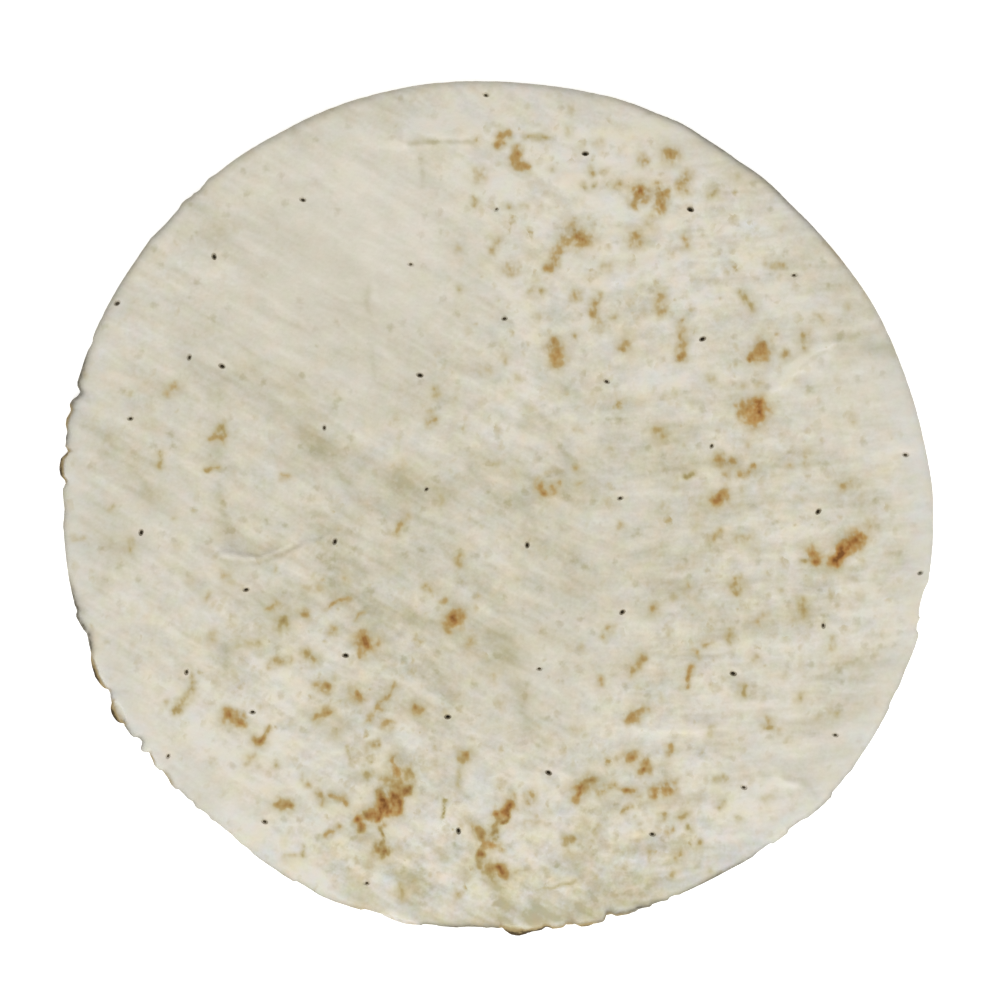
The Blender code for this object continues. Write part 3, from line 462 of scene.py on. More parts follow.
    (0.85, 1.8, 0.1, (0.6, -107.8), (3.2, -107.0), (4.6, -104.9)),
    (0.85, 0.8, 0.6, (4.5, -105.6), (3.6, -108.6), (2.2, -110.4)),
    (0.7, 1.1, 0.6, (0.2, -109.5), (-0.9, -111.8), (-1.1, -114.2)),
    (0.5, 1.5, 0.5, (-8, -112.8), (-6, -114.4), (-4.4, -115.9)),
    (0.65, 1.7, 0.1, (-3.7, -117.3), (-2.3, -118.6)), (0.6, 0.8, 0.7, (0.1, -116.3)),
    (0.75, 1.3, 0.4, (-5.6, -119.6), (-5.2, -121.5)), (0.6, 1.5, 0.3, (1.7, -119.6)),
    (0.4, 1.2, 0.7, (-6.2, -122.5), (-6, -126)), (0.95, 1.5, 0.3, (1.2, -127), (2, -128.2)),
    (0.55, 2.2, 0.5, (-3, -126), (-1, -127)), (0.6, 1.1, 0.3, (3.9, -129)),
    (0.4, 1.5, 0.8, (-4.1, -128.7), (-2.2, -130)), (0.2, 1.2, 0.3, (6.5, -127.5), (11, -127.4)),
    (0.3, 1.8, 0.8, (-0.5, -132.3)), (0.25, 1.8, 0.3, (-11.6, -129.8)), (0.35, 1.8, 0.6, (-13.7, -136)),
    (0.5, 1.8, 0.4, (12.2, -100.8), (12, -102.8)), (0.65, 2.3, 0.5, (33, -95.8), (31, -97.2)),
    (0.65, 1.6, 0.2, (29.3, -98.5), (28.2, -102)),
    (0.55, 1.4, 0.5, (41.3, -97.8), (38, -98.5), (36.3, -100.3)),
    (0.5, 1.5, 0.6, (24.3, -116.9), (26.5, -117)), (0.2, 1.8, 0.5, (24, -121.5), (27, -122)),
    (0.35, 0.9, 0.8, (35.8, -112.3), (34.6, -114.6)), (0.3, 0.9, 0.8, (33.2, -117.3)),
    (0.15, 1.3, 0.6, (10.5, -110.5), (15, -110.5)), (0.15, 1.5, 0.6, (18, -107)),
    (0.15, 1.3, 0.6, (30.5, -110.5)), (0.25, 1.6, 0.5, (42, -88.3)),
    (0.3, 0.5, 0.9, (14.5, -134), (21, -133), (27.5, -131.3)), (0.2, 1.6, 0.7, (34, -131)),
    (0.2, 1.2, 0.8, (17.3, -127.8)), (0.2, 1.8, 0.6, (-19, -122.5)),
    # the front right
    (0.45, 1.6, 0.4, (51, -52.5), (50, -54.3), (47.8, -57.5)), (0.3, 1.6, 0.3, (70.5, -51)),
    (0.6, 0.9, 0.2, (68.6, -55), (67.5, -59.5), (66.2, -63)), (0.45, 1.5, 0.7, (87, -63), (86.9, -65.2)),
    (0.35, 1.6, 0.3, (52.5, -70.3), (50.3, -71.5)), (0.55, 1.8, 0.2, (48.8, -72.5), (47.3, -74.5)),
    (0.3, 1.8, 0.3, (95.5, -75)), (0.45, 1.0, 0.6, (94, -77.2), (97, -77.2)), (0.2, 1.2, 0.3, (99.7, -78)),
    (0.25, 1.0, 1.0, (102.3, -82)), (0.45, 1.5, 0.3, (61.2, -83.5), (60.8, -85.2)),
    (0.65, 2.0, 0.2, (46.6, -87.9), (48, -87.6)), (0.7, 1.8, 0.3, (52.2, -90), (51.8, -92.5)),
    (0.8, 2.1, 0.2, (56.5, -100), (60.8, -98)), (0.65, 1.3, 0.3, (45, -99.3), (49.3, -99.8)),
    (0.5, 0.9, 0.5, (46.9, -104.8), (44.8, -107)), (0.35, 1.4, 0.5, (58.2, -109.2), (59.4, -108)),
    (0.35, 1.3, 0.6, (64.5, -109.3), (67, -108)), (0.3, 1.2, 0.3, (61.7, -112), (60.5, -114.5)),
    (0.45, 0.9, 0.9, (67.7, -111.5), (68.3, -113.3)), (0.35, 1.2, 0.6, (71.3, -117.7)),
    (0.35, 1.4, 0.5, (64.5, -121), (63.3, -123)), (0.5, 1.1, 0.6, (62, -129)),
    (0.25, 1.6, 0.4, (54.3, -120.7)), (0.25, 0.9, 0.9, (50, -111.3)),
    (0.25, 1.3, 0.7, (77.2, -95.5), (79.6, -94.6)), (0.25, 1.2, 0.8, (78.4, -105), (79.6, -103.8)),
    (0.2, 1.3, 0.8, (75.6, -77), (75, -80)), (0.2, 1.1, 1.0, (85, -109.3)), (0.25, 1.3, 0.8, (120, -72)),
    (0.2, 1.2, 0.8, (113.5, -73)), (0.2, 1.8, 0.7, (107, -67)), (0.25, 1.4, 0.4, (91.3, -52.3)),
    (0.15, 1.2, 0.4, (101, -58.7)), (0.2, 1.0, 1.0, (75, -127.7)),
    (0.2, 1.2, 0.8, (94.5, -103), (96.5, -101.8)),
)
TOAST_SPREAD = 1.32
TOAST_REACH = 4.0  # half widths within which a mark is worked out
TOAST_HEART = (0.25, 0.80, 0.05)  # a mark's heart from its strength, by rising powers
TOAST_FALL = 0.84
TOAST_POWER = 1.7
TOAST_STIR = 1.3  # millimetres that a mark's edge wanders
TOAST_STIR_SIZE = 0.0032
TOAST_SEED = Vector((11.5, 3.9, 6.1))
TOAST_NONE = 1e-6

# Where the skin blistered and flecked most, in millimetres: place, radius, how much.
FLECKED_ZONES = (
    ((65, 118), 32, 1.0), ((30, 118), 30, 0.7), ((5, 120), 25, 0.4), ((42, 92), 30, 0.8),
    ((68, 95), 28, 0.8), ((30, 70), 30, 0.6), ((60, 70), 25, 0.35), ((95, 55), 25, 0.6),
    ((88, 22), 28, 0.9), ((112, 5), 30, 0.5), ((115, -28), 28, 0.7), ((88, -25), 28, 0.5),
    ((62, -50), 30, 0.7), ((60, -90), 32, 0.9), ((35, -105), 30, 1.0), ((5, -110), 30, 1.0),
    ((-35, -100), 32, 1.0), ((-60, -115), 25, 0.7), ((-12, -125), 25, 0.9), ((60, -118), 22, 0.8),
    ((-45, -70), 30, 0.9), ((-75, -70), 30, 0.8), ((-90, -55), 22, 0.6), ((-60, -35), 25, 0.7),
    ((-20, -40), 25, 0.6), ((15, 15), 30, 0.5), ((-20, 25), 25, 0.35), ((15, 50), 25, 0.4),
)
LEAST_FLECKING = 0.06
FLECKED_BAND = (0.006, 0.010)

# The smoothest skin, in the same terms.
CALM_ZONES = (
    ((-55, 88), 48, 1.0), ((-95, 60), 30, 0.5), ((-125, -5), 22, 0.4), ((12, -55), 20, 0.4),
    ((125, 40), 22, 0.5), ((-110, -110), 25, 0.5), ((105, -90), 20, 0.3),
)

# Mottling is stronger towards the front: the millimetres at which that starts, and its width.
FRONT_START = 95.0
FRONT_BAND = 40.0

# Flour that clung to the rim: bearing, half width in degrees, how much.
FLOURY_RIM = (
    (222.0, 42.0, 0.55), (325.0, 38.0, 0.55), (0.0, 30.0, 0.6), (178.0, 32.0, 0.45),
)
FLOUR_BAND = (0.003, 0.012)

# Where the side of the rim takes painted shade, a thin grey line: bearing, half width in degrees, how much.
SHADED_RIM = (
    (54, 25, 0.76), (86, 20, 0.2), (122, 20, 0.25), (142, 18, 0.55), (153, 12, 0.5), (166, 9, 1.35),
    (182, 9, 0.5), (196, 8, 1.35), (210, 9, 0.8), (222, 12, 0.5), (243, 16, 0.55), (266, 12, 1.0),
    (285, 12, 1.45), (301, 11, 0.95), (317, 12, 0.62), (333, 12, 0.4),
)
RIM_SHADE = 0.12  # the least that the rim is shaded
SHADE_WIDTH = 1.40  # millimetres
SHADE_AT_FOOT = 0.18  # how much of it is left where the rim turns under

# Where the foot of the rim is toasted, in the same terms.
SCORCHED_RIM = (
    (168.5, 2.4, 0.62), (174.7, 3.0, 1.0), (202.6, 3.4, 1.0), (208.6, 2.2, 1.2), (216.0, 1.5, 0.45),
    (219.5, 2.0, 0.35), (272.6, 2.8, 1.55), (275.5, 3.0, 1.15), (279.0, 2.4, 0.5), (281.8, 2.0, 0.75),
    (286.0, 3.0, 0.35), (37.0, 3.0, 0.3),
)
SCORCH_WIDTH = 3.3  # millimetres

# ---------------------------------------------------------------------------------------------
# The mesh, the relief and the finish
# ---------------------------------------------------------------------------------------------

SHOULDER_RINGS = 6
BASE_RINGS = 4
LOOP_GAP = 0.62  # how near a skin point may come to its outer loop, in spacings
MERGE_GAP = 1e-7
LATTICE_REACH = 1.06  # mean radii
NICK_DEPTH = 0.00022  # the rim's own fine raggedness
NICK_SIZE = 0.0036
NICK_SEED = Vector((5.2, 1.3, 8.8))
BASE_DENT = 0.00012
BASE_DENT_SIZE = 0.006
BASE_SEED = Vector((2.6, 4.1, 9.4))
LEAST_POINTS = 1000
SHARP_ANGLE = 55.0  # degrees

# Skin with more than this of a thing gets the closer mesh.
BUSY_TOAST = 0.05
BUSY_FLECKING = 0.66
BUSY_CREASE = 0.08
BUSY_PIN_REACH = 0.0035

# How the docked mesh is told apart. Lengths round a pin hole are in millimetres.
NO_HOLE = 9.0
HOLE_EDGE = 1.2
PIT_EDGE = 1.6
PIT_FADE = 0.0016
PIT_RIM_GAP = 0.004
PIT_LEVEL = 0.0009
TOAST_LEVEL = 0.0035
SKIN_BAND = (0.0030, 0.0070)
SHOWN_MARKS = ("flecking", "toast", "golden", "tone", "flour", "fleck")
SHOWN_MARKS += ("hole", "grip", "pit", "lively", "crease", "shade", "scorch")

LUMP_SIZE = 0.0070
WRINKLE_SIZE = 0.0060
WRINKLE_BEARING = -60.0
WRINKLE_STRETCH = (1.0, 0.22, 1.0)
BLISTER_RADII = (0.0009, 0.0030)
BLISTER_STIR = 0.0012
BLISTER_STIR_SIZE = 0.0022

# Sizes of the mottling, and how it was drawn out as the dough was rolled.
BROAD_SIZE = 0.030
MIDDLING_SIZE = 0.0085
DRAWN_SIZE = 0.0028
SMALL_SIZE = 0.0042
FINE_SIZE = 0.0017
GRAIN_SIZE = 0.0009
ROLLED_LEFT = 150.0  # degrees
ROLLED_RIGHT = 4.0
ROLL_CHANGE = (0.010, 0.060)  # from one to the other between these places along X
SPECK_SPACING = 0.0062
TINGE_SIZE = 0.0085
HUE_SIZE = 0.0060
WARM_TINGE = (1.04, 0.99, 0.84, 1.0)
COOL_TINGE = (0.96, 1.01, 1.16, 1.0)
PINK_TINGE = (1.03, 0.965, 0.97, 1.0)
GREEN_TINGE = (0.97, 1.02, 0.96, 1.0)

# Fleck layers: cell size, bearing they lean along, share of cells at most, strength.
FLECK_SIZES = (
    (0.0056, 72.0, 0.24, 0.32), (0.0038, 102.0, 0.28, 0.3), (0.0026, 60.0, 0.32, 0.28),
)
FLECK_STRETCH = 1.45
FLECK_STIR = 0.0030
FLECK_STIR_SIZE = 0.0020

# The grain inside a toasted mark, and how far it is toasted where each colour of a ramp stands.
STREAK_SIZE = 0.0018
STREAK_BEARING = 100.0
CLOT_SIZE = 0.0040
CRUMB_SIZE = 0.0021
HEATS = (0.00, 0.44, 0.74, 1.00, 1.40)
# The most painted shade that the side of the rim takes.
MOST_PAINTED_SHADE = 0.84
BUMP_DEPTH = 0.00025

# The studio.
SENSOR = 36.0
AIM = (0.00110, 0.00310)
NEAR_CLIP = 0.01
KEY_PLACE = (0.22, -2.52, 3.60)
KEY_SIZE = 3.4
FLOOR_SIDE = 3.0
FLOOR_DROP = 0.0002
WHITE = (1.0, 1.0, 1.0, 1.0)

# ---------------------------------------------------------------------------------------------
# Sizes and colours
# ---------------------------------------------------------------------------------------------


def length_property(name, description, default, **limits):
    return FloatProperty(
        name=name,
        description=description,
        default=default,
        precision=6,
        subtype="DISTANCE",
        unit="LENGTH",
        **limits,
    )


def colour_property(name, description, default):
    return FloatVectorProperty(
        name=name, description=description, default=default, subtype="COLOR", size=4, min=0.0, max=1.0
    )


class CrustShape(PropertyGroup):
    """Sizes of the dressed skin."""

    skin_spacing: length_property(
        "Skin spacing",
        "Distance between the points of the most detailed skin; plain skin has twice as much",
        0.00080,
        min=0.0006,
        max=0.004,
    )
    base_spacing: length_property(
        "Base spacing", "Distance between the points of the underside", 0.0040, min=0.002, max=0.01
    )
    rim_steps: IntProperty(
        name="Rim steps", description="Number of sections round the rim", default=1300, min=200, max=2000
    )
    pin_radius: length_property("Pin radius", "Radius of a docking pin below its collar", 0.00084)
    collar_radius: length_property(
        "Collar radius", "Radius of a docking pin's flared collar, above the skin", 0.00135
    )
    pin_depth: length_property("Pin depth", "How deep a docking pin went into the dough", 0.0028)
    lump_height: length_property("Lump height", "Height of the low lumps of the flecked skin", 0.00050)
    wrinkle_height: length_property(
        "Wrinkle height", "Height of the fine wrinkles of the smooth skin", 0.00008
    )
    blister_density: FloatProperty(
        name="Blister density",
        description="Small blisters in a square metre of the most flecked skin",
        default=26000.0,
        min=0.0,
    )
    blister_rise: length_property("Blister rise", "Height of the largest of the small blisters", 0.00025)
    seed: IntProperty(name="Seed", description="Seed of the small blisters", default=7)


class CrustColours(PropertyGroup):
    """Colours of the dough, from pale to well toasted."""

    floury: colour_property("Floury dough", "Dry dough with flour on it", (0.720, 0.705, 0.645, 1.0))
    # Pale and darker dough: partly the dough's own tone, partly painted light on the pillows and painted
    # shade in the hollows.
    pale: colour_property("Pale dough", "The dough's pale pillows", (0.765, 0.724, 0.620, 1.0))
    plain: colour_property("Plain dough", "The parbaked dough itself", (0.657, 0.616, 0.500, 1.0))
    damp_and_shade: colour_property("Damp dough", "Smooth damp dough in the hollows", (0.484, 0.440, 0.290, 1.0))
    blush: colour_property("Blush", "Dough that has just begun to take colour", (0.575, 0.508, 0.335, 1.0))
    tan: colour_property("Tan", "A pale blister", (0.525, 0.405, 0.210, 1.0))
    orange: colour_property("Orange brown", "A well coloured blister", (0.470, 0.285, 0.095, 1.0))
    brown: colour_property("Brown", "A dark blister", (0.390, 0.180, 0.045, 1.0))
    dark: colour_property("Dark brown", "The darkest tips", (0.200, 0.075, 0.012, 1.0))
    moss: colour_property("Moss", "A pale dull fleck", (0.490, 0.425, 0.225, 1.0))
    olive: colour_property("Olive", "A dull golden fleck", (0.370, 0.300, 0.125, 1.0))
    bronze: colour_property("Bronze", "A dark golden fleck", (0.260, 0.180, 0.060, 1.0))
    # Painted shade inside the pin holes, darker the deeper it goes.
    pit: colour_property("Pit", "The inside of a pin hole", (0.240, 0.200, 0.130, 1.0))
    # Painted shade: the grey laid along the side of the rim.
    rim_shade_colour: colour_property("Rim_shade_paint", "The dusty side of the rim", (0.130, 0.116, 0.082, 1.0))
    crisp: colour_property("Crisp", "The toasted foot of the rim", (0.350, 0.265, 0.125, 1.0))
    char: colour_property("Char", "The edge of the toasted flash", (0.070, 0.047, 0.018, 1.0))


class CrustStage(PropertyGroup):
    """The floor, the lights and the camera."""

    floor_colour: colour_property("Floor", "Colour of the floor", (0.95, 0.95, 0.95, 1.0))
    glow: FloatProperty(
        name="Floor glow",
        description="Light that the floor gives of its own, as a lit studio table does",
        default=0.55,
        min=0.0,
    )
    sky: FloatProperty(
        name="Sky", description="Brightness of the even light from all round", default=0.45, min=0.0
    )
    key: FloatProperty(
        name="Key light",
        description="Share of the floor's light that the large lamp gives",
        default=0.58,
        min=0.0,
    )
    frame_width: length_property("Frame width", "Width of the view at the level of the rim", 0.3537)
    lens: FloatProperty(
        name="Lens", description="Focal length of the camera", default=120.0, min=20.0, unit="CAMERA"
    )


# ---------------------------------------------------------------------------------------------
# The disc's shape, worked out for many points at once
# ---------------------------------------------------------------------------------------------


def ease(value):
    """A smooth step from 0 to 1."""
    share = np.clip(value, 0.0, 1.0)
    return share * share * (3.0 - 2.0 * share)


def half_turn(degrees):
    """The same bearing between -180 and 180 degrees."""
    return (degrees + 180.0) % 360.0 - 180.0


def across(bearing, middle, half_width):
    """Where a bearing falls across a stretch of rim: 0 in its middle, 1 at its ends and past."""
    return np.minimum(np.abs(half_turn(np.degrees(bearing) - middle)) / half_width, 1.0)


def round_rim(bearing, table, least=0.0):
    """The greatest of a table's amounts at each bearing, each one fading out to its ends."""
    most = np.full(len(bearing), least)
    for middle, wide, amount in table:
        most = np.maximum(most, amount * (1.0 - across(bearing, middle, wide) ** 2))
    return most


def rim_radius(bearing):
    """Distance of the outline from the dough's centre."""
    share = np.ones_like(bearing)
    for lobes, amount, crest in RIM_LOBES:
        share += amount * np.cos(lobes * (bearing - math.radians(crest)))
    swell = np.zeros_like(bearing)
    for middle, wide, out in RIM_SWELLS:
        swell += out * MM * (1.0 - across(bearing, middle, wide) ** 2) ** 2
    return MEAN_RADIUS * share - round_rim(bearing, RIM_BAYS) + swell


def lip_reach(bearing):
    """How far the base flash stands out past the rim."""
    reach = np.zeros_like(bearing)
    for middle, wide, most in BASE_LIPS:
        reach = np.maximum(reach, most * np.sqrt(1.0 - across(bearing, middle, wide) ** 2))
    return reach


def tear_depth(bearing):
    """How far the outline steps in at the tears: steep where a tear starts, shallow at its end."""
    depth = np.zeros_like(bearing)
    for start, end, most in TEARS:
        gone = half_turn(np.degrees(bearing) - start) * math.copysign(1.0, end - start)
        share = np.clip(gone / abs(end - start), 0.0, 1.0)
        step = np.clip(gone / TEAR_STEEPNESS + 0.5, 0.0, 1.0)
        depth = np.maximum(depth, most * step * (1.0 - share**3))
    return depth


def bearings_of(points):
    spoke = points - MIDDLE
    return np.arctan2(spoke[:, 1], spoke[:, 0])


def edge_distance(points):
    """Distance inwards from the outline, along the radius."""
    spoke = points - MIDDLE
    return rim_radius(bearings_of(points)) - np.hypot(spoke[:, 0], spoke[:, 1])


def inland(points, band):
    """From 0 at the band's first distance inside the outline to 1 across its width."""
    return ease((edge_distance(points) - band[0]) / band[1])


def distance_from(points, place):
    return np.hypot(*(points - np.array(place)).T)


def line_distance(points, line):
    """Distance from a line of points, with a sign: positive on the left of its way."""
    line = np.array(line, float)
    if len(line) == 1:
        return distance_from(points, line[0])
    best = np.full(len(points), np.inf)
    signed = np.zeros(len(points))
    for start, end in zip(line, line[1:]):
        way = end - start
        share = np.clip((points - start) @ way / (way @ way), 0.0, 1.0)
        offset = points - start - share[:, None] * way
        distance = np.hypot(offset[:, 0], offset[:, 1])
        side = way[0] * offset[:, 1] - way[1] * offset[:, 0]
        nearer = distance < best
        signed = np.where(nearer, np.copysign(distance, side), signed)
        best = np.where(nearer, distance, best)
    return signed


def close_to(spots, line, reach):
    """Which spots lie in the box that goes so far round a line."""
    low = np.min(line, axis=0) - reach
    high = np.max(line, axis=0) + reach
    return np.flatnonzero(np.all((spots > low) & (spots < high), axis=1))


def noise_at(points, size, seed):
    """Smooth noise from about -1 to 1 at points of two or three coordinates."""
    if points.shape[1] == 2:
        points = np.column_stack([points, np.zeros(len(points))])
    return np.array([noise.noise(Vector(spot) + seed) for spot in (points / size).tolist()])


def stirred(points, size, seed, rise):
    """Two noises beside each other, to shift points by."""
    return np.column_stack(
        [noise_at(points, size, seed + Vector((0.0, 0.0, rise * turn))) for turn in range(2)]
    )


def top_height(points):
    """Height above the underside of the top skin's main forms."""
    swell = SWELL_RISE * noise_at(points, SWELL_SIZE, SWELL_SEED)
    drop = np.zeros(len(points))
    for depth, half_width, line in TROUGHS:
        drop = np.maximum(drop, depth * np.exp(-((line_distance(points, line) / half_width) ** 2)))
    fold = np.zeros(len(points))
    for height, back, front, line in FOLDS:
        distance = line_distance(points, line)
        reach = np.where(distance > 0.0, back, front)
        fold = np.maximum(fold, height * np.exp(-((distance / reach) ** 2)))
    blister = np.zeros(len(points))
    for place, radius, height in BLISTERS:
        share = np.minimum(distance_from(points, place) / radius, 1.0)
        blister = np.maximum(blister, height * (1.0 - share * share) ** 2)
    edge = ease(edge_distance(points) / EDGE_WIDTH)
    return THICKNESS - EDGE_FALL * (1.0 - edge) + (swell - drop + fold + blister) * edge


def strokes(points, table, power=2.0):
    """The sum of soft strokes given in millimetres, for points in metres."""
    spots = points / MM
    total = np.zeros(len(points))
    for amount, half_width, *line in table:
        near = close_to(spots, line, STROKE_REACH * half_width)
        share = np.abs(line_distance(spots[near], line)) / half_width
        total[near] += amount * np.exp(-STROKE_FALL * share**power)
    return total


def tone_at(points):
    """From -1 in the dampest hollow to 1 on the flouriest pillow; in the colour it is partly painted shade
    and painted light.
    """
    spots = points + DRIFT_STIR * stirred(points, DRIFT_STIR_SIZE, DRIFT_SEED, 9.0)
    pillows = strokes(spots, PILLOWS, DRIFT_POWER)
    hollows = strokes(spots, HOLLOWS, DRIFT_POWER)
    return np.clip(pillows - hollows, -DRIFT_LIMIT, DRIFT_LIMIT)


def drift_relief(points):
    """How far the pillows rise and the hollows sink."""
    tone = tone_at(points)
    return np.where(tone > 0.0, PILLOW_RISE, HOLLOW_DEPTH) * tone * inland(points, DRIFT_BAND)


def crease_relief(points):
    """How far the narrow creases sink and the narrow ridges rise."""
    return -CREASE_DEPTH * strokes(points, CREASES)


def docking():
    """The pins' places, how far each one went in, and the bearing it is drawn out along."""
    places = []
    grips = []
    for row in PIN_RANGE:
        for column in PIN_RANGE:
            missing = row % 2 == 1 and (column + (row - 3) // 2) % 2 == 0
            if missing:
                continue
            creep = np.array(PIN_CREEP.get((column, row), (0.0, 0.0)))
            places.append(PIN_START + column * PIN_STEP + row * ROW_STEP + creep)
            grips.append(SHALLOW_PINS.get((column, row), 1.0))
    places += [np.array(place) for place in STRAY_PINS]
    grips += [STRAY_GRIP] * len(STRAY_PINS)
    places = np.array(places)
    grips = np.array(grips)
    met = edge_distance(places) > PIN_RIM_GAP
    random = np.random.default_rng(PIN_SEED)
    leans = random.uniform(*PIN_LEAN, len(places))
    return places[met], grips[met], leans[met]


def pin_relief(points):
    """The dimple round each hole and the small lip on its far side."""
    relief = np.zeros(len(points))
    places, grips, _ = docking()
    for place, grip in zip(places, grips):
        away = distance_from(points, place)
        relief -= grip * DIMPLE_DEPTH * np.exp(-((away / DIMPLE_RADIUS) ** 2))
        away = np.hypot(*(points - place - LIP_PLACE).T)
        relief += grip * LIP_RISE * np.exp(-((away / LIP_RADIUS) ** 2))
    return relief


def skin_height(points):
    """Height above the underside of the top skin, with all that can be worked out for a point."""
    return top_height(points) + pin_relief(points) + drift_relief(points) + crease_relief(points)


# ---------------------------------------------------------------------------------------------
# The oven's marks, worked out for many points at once
# ---------------------------------------------------------------------------------------------


def toast_fields(points):
    """How toasted each point is, and how golden; marks that touch run together."""
    spots = points / MM + TOAST_STIR * stirred(points, TOAST_STIR_SIZE, TOAST_SEED, 20.0)
    total = np.full(len(points), TOAST_NONE)
    golds = 0.5 * total
    least, rise, curve = TOAST_HEART
    for strength, half_width, gold, *line in TOAST_MARKS:
        near = close_to(spots, line, TOAST_REACH * half_width)
        share = np.abs(line_distance(spots[near], line)) / (TOAST_SPREAD * half_width)
        heart = least + rise * strength + curve * strength**2
        level = (heart * np.exp(-TOAST_FALL * share**TOAST_POWER)) ** 3
        total[near] += level
        golds[near] += gold * level
    return np.cbrt(total - TOAST_NONE), golds / total


def zone_shares(points, zones):
    """What each zone of a table brings to the points, zone by zone."""
    for place, radius, amount in zones:
        away = distance_from(points / MM, place) / radius
        yield amount * np.exp(-(away**2))


def flecking_at(points):
    """From nearly 0 on smooth skin to 1 where it is blistered and flecked most."""
    plain = np.ones(len(points))
    for share in zone_shares(points, FLECKED_ZONES):
        plain *= 1.0 - share
    return np.maximum(1.0 - plain, LEAST_FLECKING) * inland(points, FLECKED_BAND)


def liveliness(points):
    """How strong the mottling is: less on calm skin, more on flecked skin and at the front."""
    calm = np.zeros(len(points))
    for share in zone_shares(points, CALM_ZONES):
        calm = np.maximum(calm, share)
    front = ease((-points[:, 1] / MM - FRONT_START) / FRONT_BAND)
    return 1.0 - 0.5 * calm + 0.18 * flecking_at(points) + 0.60 * front


def rim_shade(points, inward):
    """How much painted shade the side of the rim takes: most along its shoulder, and little where it turns
    under.
    """
    shaded = round_rim(bearings_of(points[:, :2]), SHADED_RIM, RIM_SHADE)
    width = SHADE_WIDTH * (0.7 + 0.4 * shaded)
    shaded *= np.exp(-((np.maximum(inward, 0.0) / width) ** 1.6))
    return shaded * (SHADE_AT_FOOT + (1.0 - SHADE_AT_FOOT) * ease(points[:, 2] / WIDEST_LEVEL))


def nearest_pin(plan):
    """How far each point is from the nearest pin hole, and how far that pin went in."""
    hole = np.full(len(plan), NO_HOLE)
    grip_near = np.zeros(len(plan))
    for place, grip, lean in zip(*docking()):
        offset = plan - place
        along = (offset[:, 0] * math.cos(lean) + offset[:, 1] * math.sin(lean)) / PIN_WIDE
        aside = (offset[:, 1] * math.cos(lean) - offset[:, 0] * math.sin(lean)) / PIN_NARROW
        away = np.hypot(along, aside) / MM
        nearer = away < hole
        hole = np.where(nearer, away, hole)
        grip_near = np.where(nearer, grip, grip_near)
    return hole, grip_near


def mark_skin(mesh):
    """Stores on the docked mesh everything that the relief and the material need to know."""
    points = positions_of(mesh)
    plan = points[:, :2]
    level = points[:, 2]
    edge = edge_distance(plan)
    bearing = bearings_of(plan)
    inward = (edge - tear_depth(bearing) + lip_reach(bearing)) / MM
    hole, grip = nearest_pin(plan)
    clear = ease((hole - HOLE_EDGE) / HOLE_EDGE)
    toast, golden = toast_fields(plan)
    # How far down a pin hole a point lies, for the painted shade inside it.
    pit = np.where(hole < PIT_EDGE, ease((skin_height(plan) - level) / PIT_FADE), 0.0)
    marks = {
        "skin": np.where(level > 0.5 * THICKNESS, inland(plan, SKIN_BAND) * clear, 0.0),
        "flecking": flecking_at(plan),
        "toast": np.where(level > TOAST_LEVEL, toast, 0.0) * clear,
        "golden": golden,
        "tone": tone_at(plan),
        "flour": round_rim(bearing, FLOURY_RIM) * (1.0 - inland(plan, FLOUR_BAND)),
        "hole": hole,
        "grip": grip,
        "pit": np.where(edge > PIT_RIM_GAP, pit, 0.0) * (level > PIT_LEVEL),
        "lively": liveliness(plan),
        "crease": strokes(plan, CREASES),
        "shade": rim_shade(points, inward),
        "scorch": round_rim(bearing, SCORCHED_RIM) * (1.0 - ease(inward / SCORCH_WIDTH)),
    }
    for name, values in marks.items():
        store(mesh, name, values)


# ---------------------------------------------------------------------------------------------
# The skin
# ---------------------------------------------------------------------------------------------


def rim_points(bearings, angle):
    """One ring of the rim's section. The angle runs from 0 at the shoulder, through a quarter
    turn at the widest level, to a half turn at the base."""
    radius = rim_radius(bearings)
    spokes = np.column_stack([np.cos(bearings), np.sin(bearings)])
    rise = math.cos(angle)
    nick = NICK_DEPTH * np.abs(noise_at(spokes * MEAN_RADIUS, NICK_SIZE, NICK_SEED)) * math.sin(angle)
    tear = tear_depth(bearings)
    recess = LIP_RECESS * lip_reach(bearings)
    if rise > 0.0:
        inset = SHOULDER_INSET * (1.0 - math.sin(angle)) + nick + (tear + recess) * math.sin(angle) ** 2
        shoulder = MIDDLE + (radius - SHOULDER_INSET)[:, None] * spokes
        height = WIDEST_LEVEL + (top_height(shoulder) - WIDEST_LEVEL) * rise
    else:
        inset = BASE_INSET * (1.0 - math.sin(angle)) + nick + tear
        share = float(ease(-rise * WIDEST_LEVEL / (WIDEST_LEVEL - LIP_TIP_HEIGHT)))
        inset = inset - lip_reach(bearings) * share + recess * (1.0 - share)
        height = np.full(len(bearings), WIDEST_LEVEL * (1.0 + rise))
    plan = MIDDLE + (radius - inset)[:, None] * spokes
    return np.column_stack([plan, height])


def lattice(spacing, inset, busy=None):
    """Evenly spread points that lie at least so far inside the outline. Where a busy function
    says that the skin is plain, only every other point of every other row stays."""
    row_height = spacing * math.sqrt(0.75)
    reach = math.ceil(LATTICE_REACH * MEAN_RADIUS / row_height)
    rows, columns = np.mgrid[-reach : reach + 1, -2 * reach : 2 * reach + 1]
    rows = rows.ravel()
    columns = columns.ravel()
    points = np.column_stack([(columns + 0.5 * rows) * spacing, rows * row_height])
    inside = edge_distance(points) > inset
    if busy:
        even = (rows % 2 == 0) & (columns % 2 == 0)
        kept = inside & even
        rest = np.flatnonzero(inside & ~even)
        kept[rest[busy(points[rest])]] = True
        inside = kept
    return points[inside]


def busy_skin(points):
    """Whether the skin has marks, flecks, a crease or a pin hole there."""
    busy = np.zeros(len(points), bool)
    for place in docking()[0]:
        busy |= distance_from(points, place) < BUSY_PIN_REACH
    busy |= np.abs(strokes(points, CREASES)) > BUSY_CREASE
    return busy | (toast_fields(points)[0] > BUSY_TOAST) | (flecking_at(points) > BUSY_FLECKING)


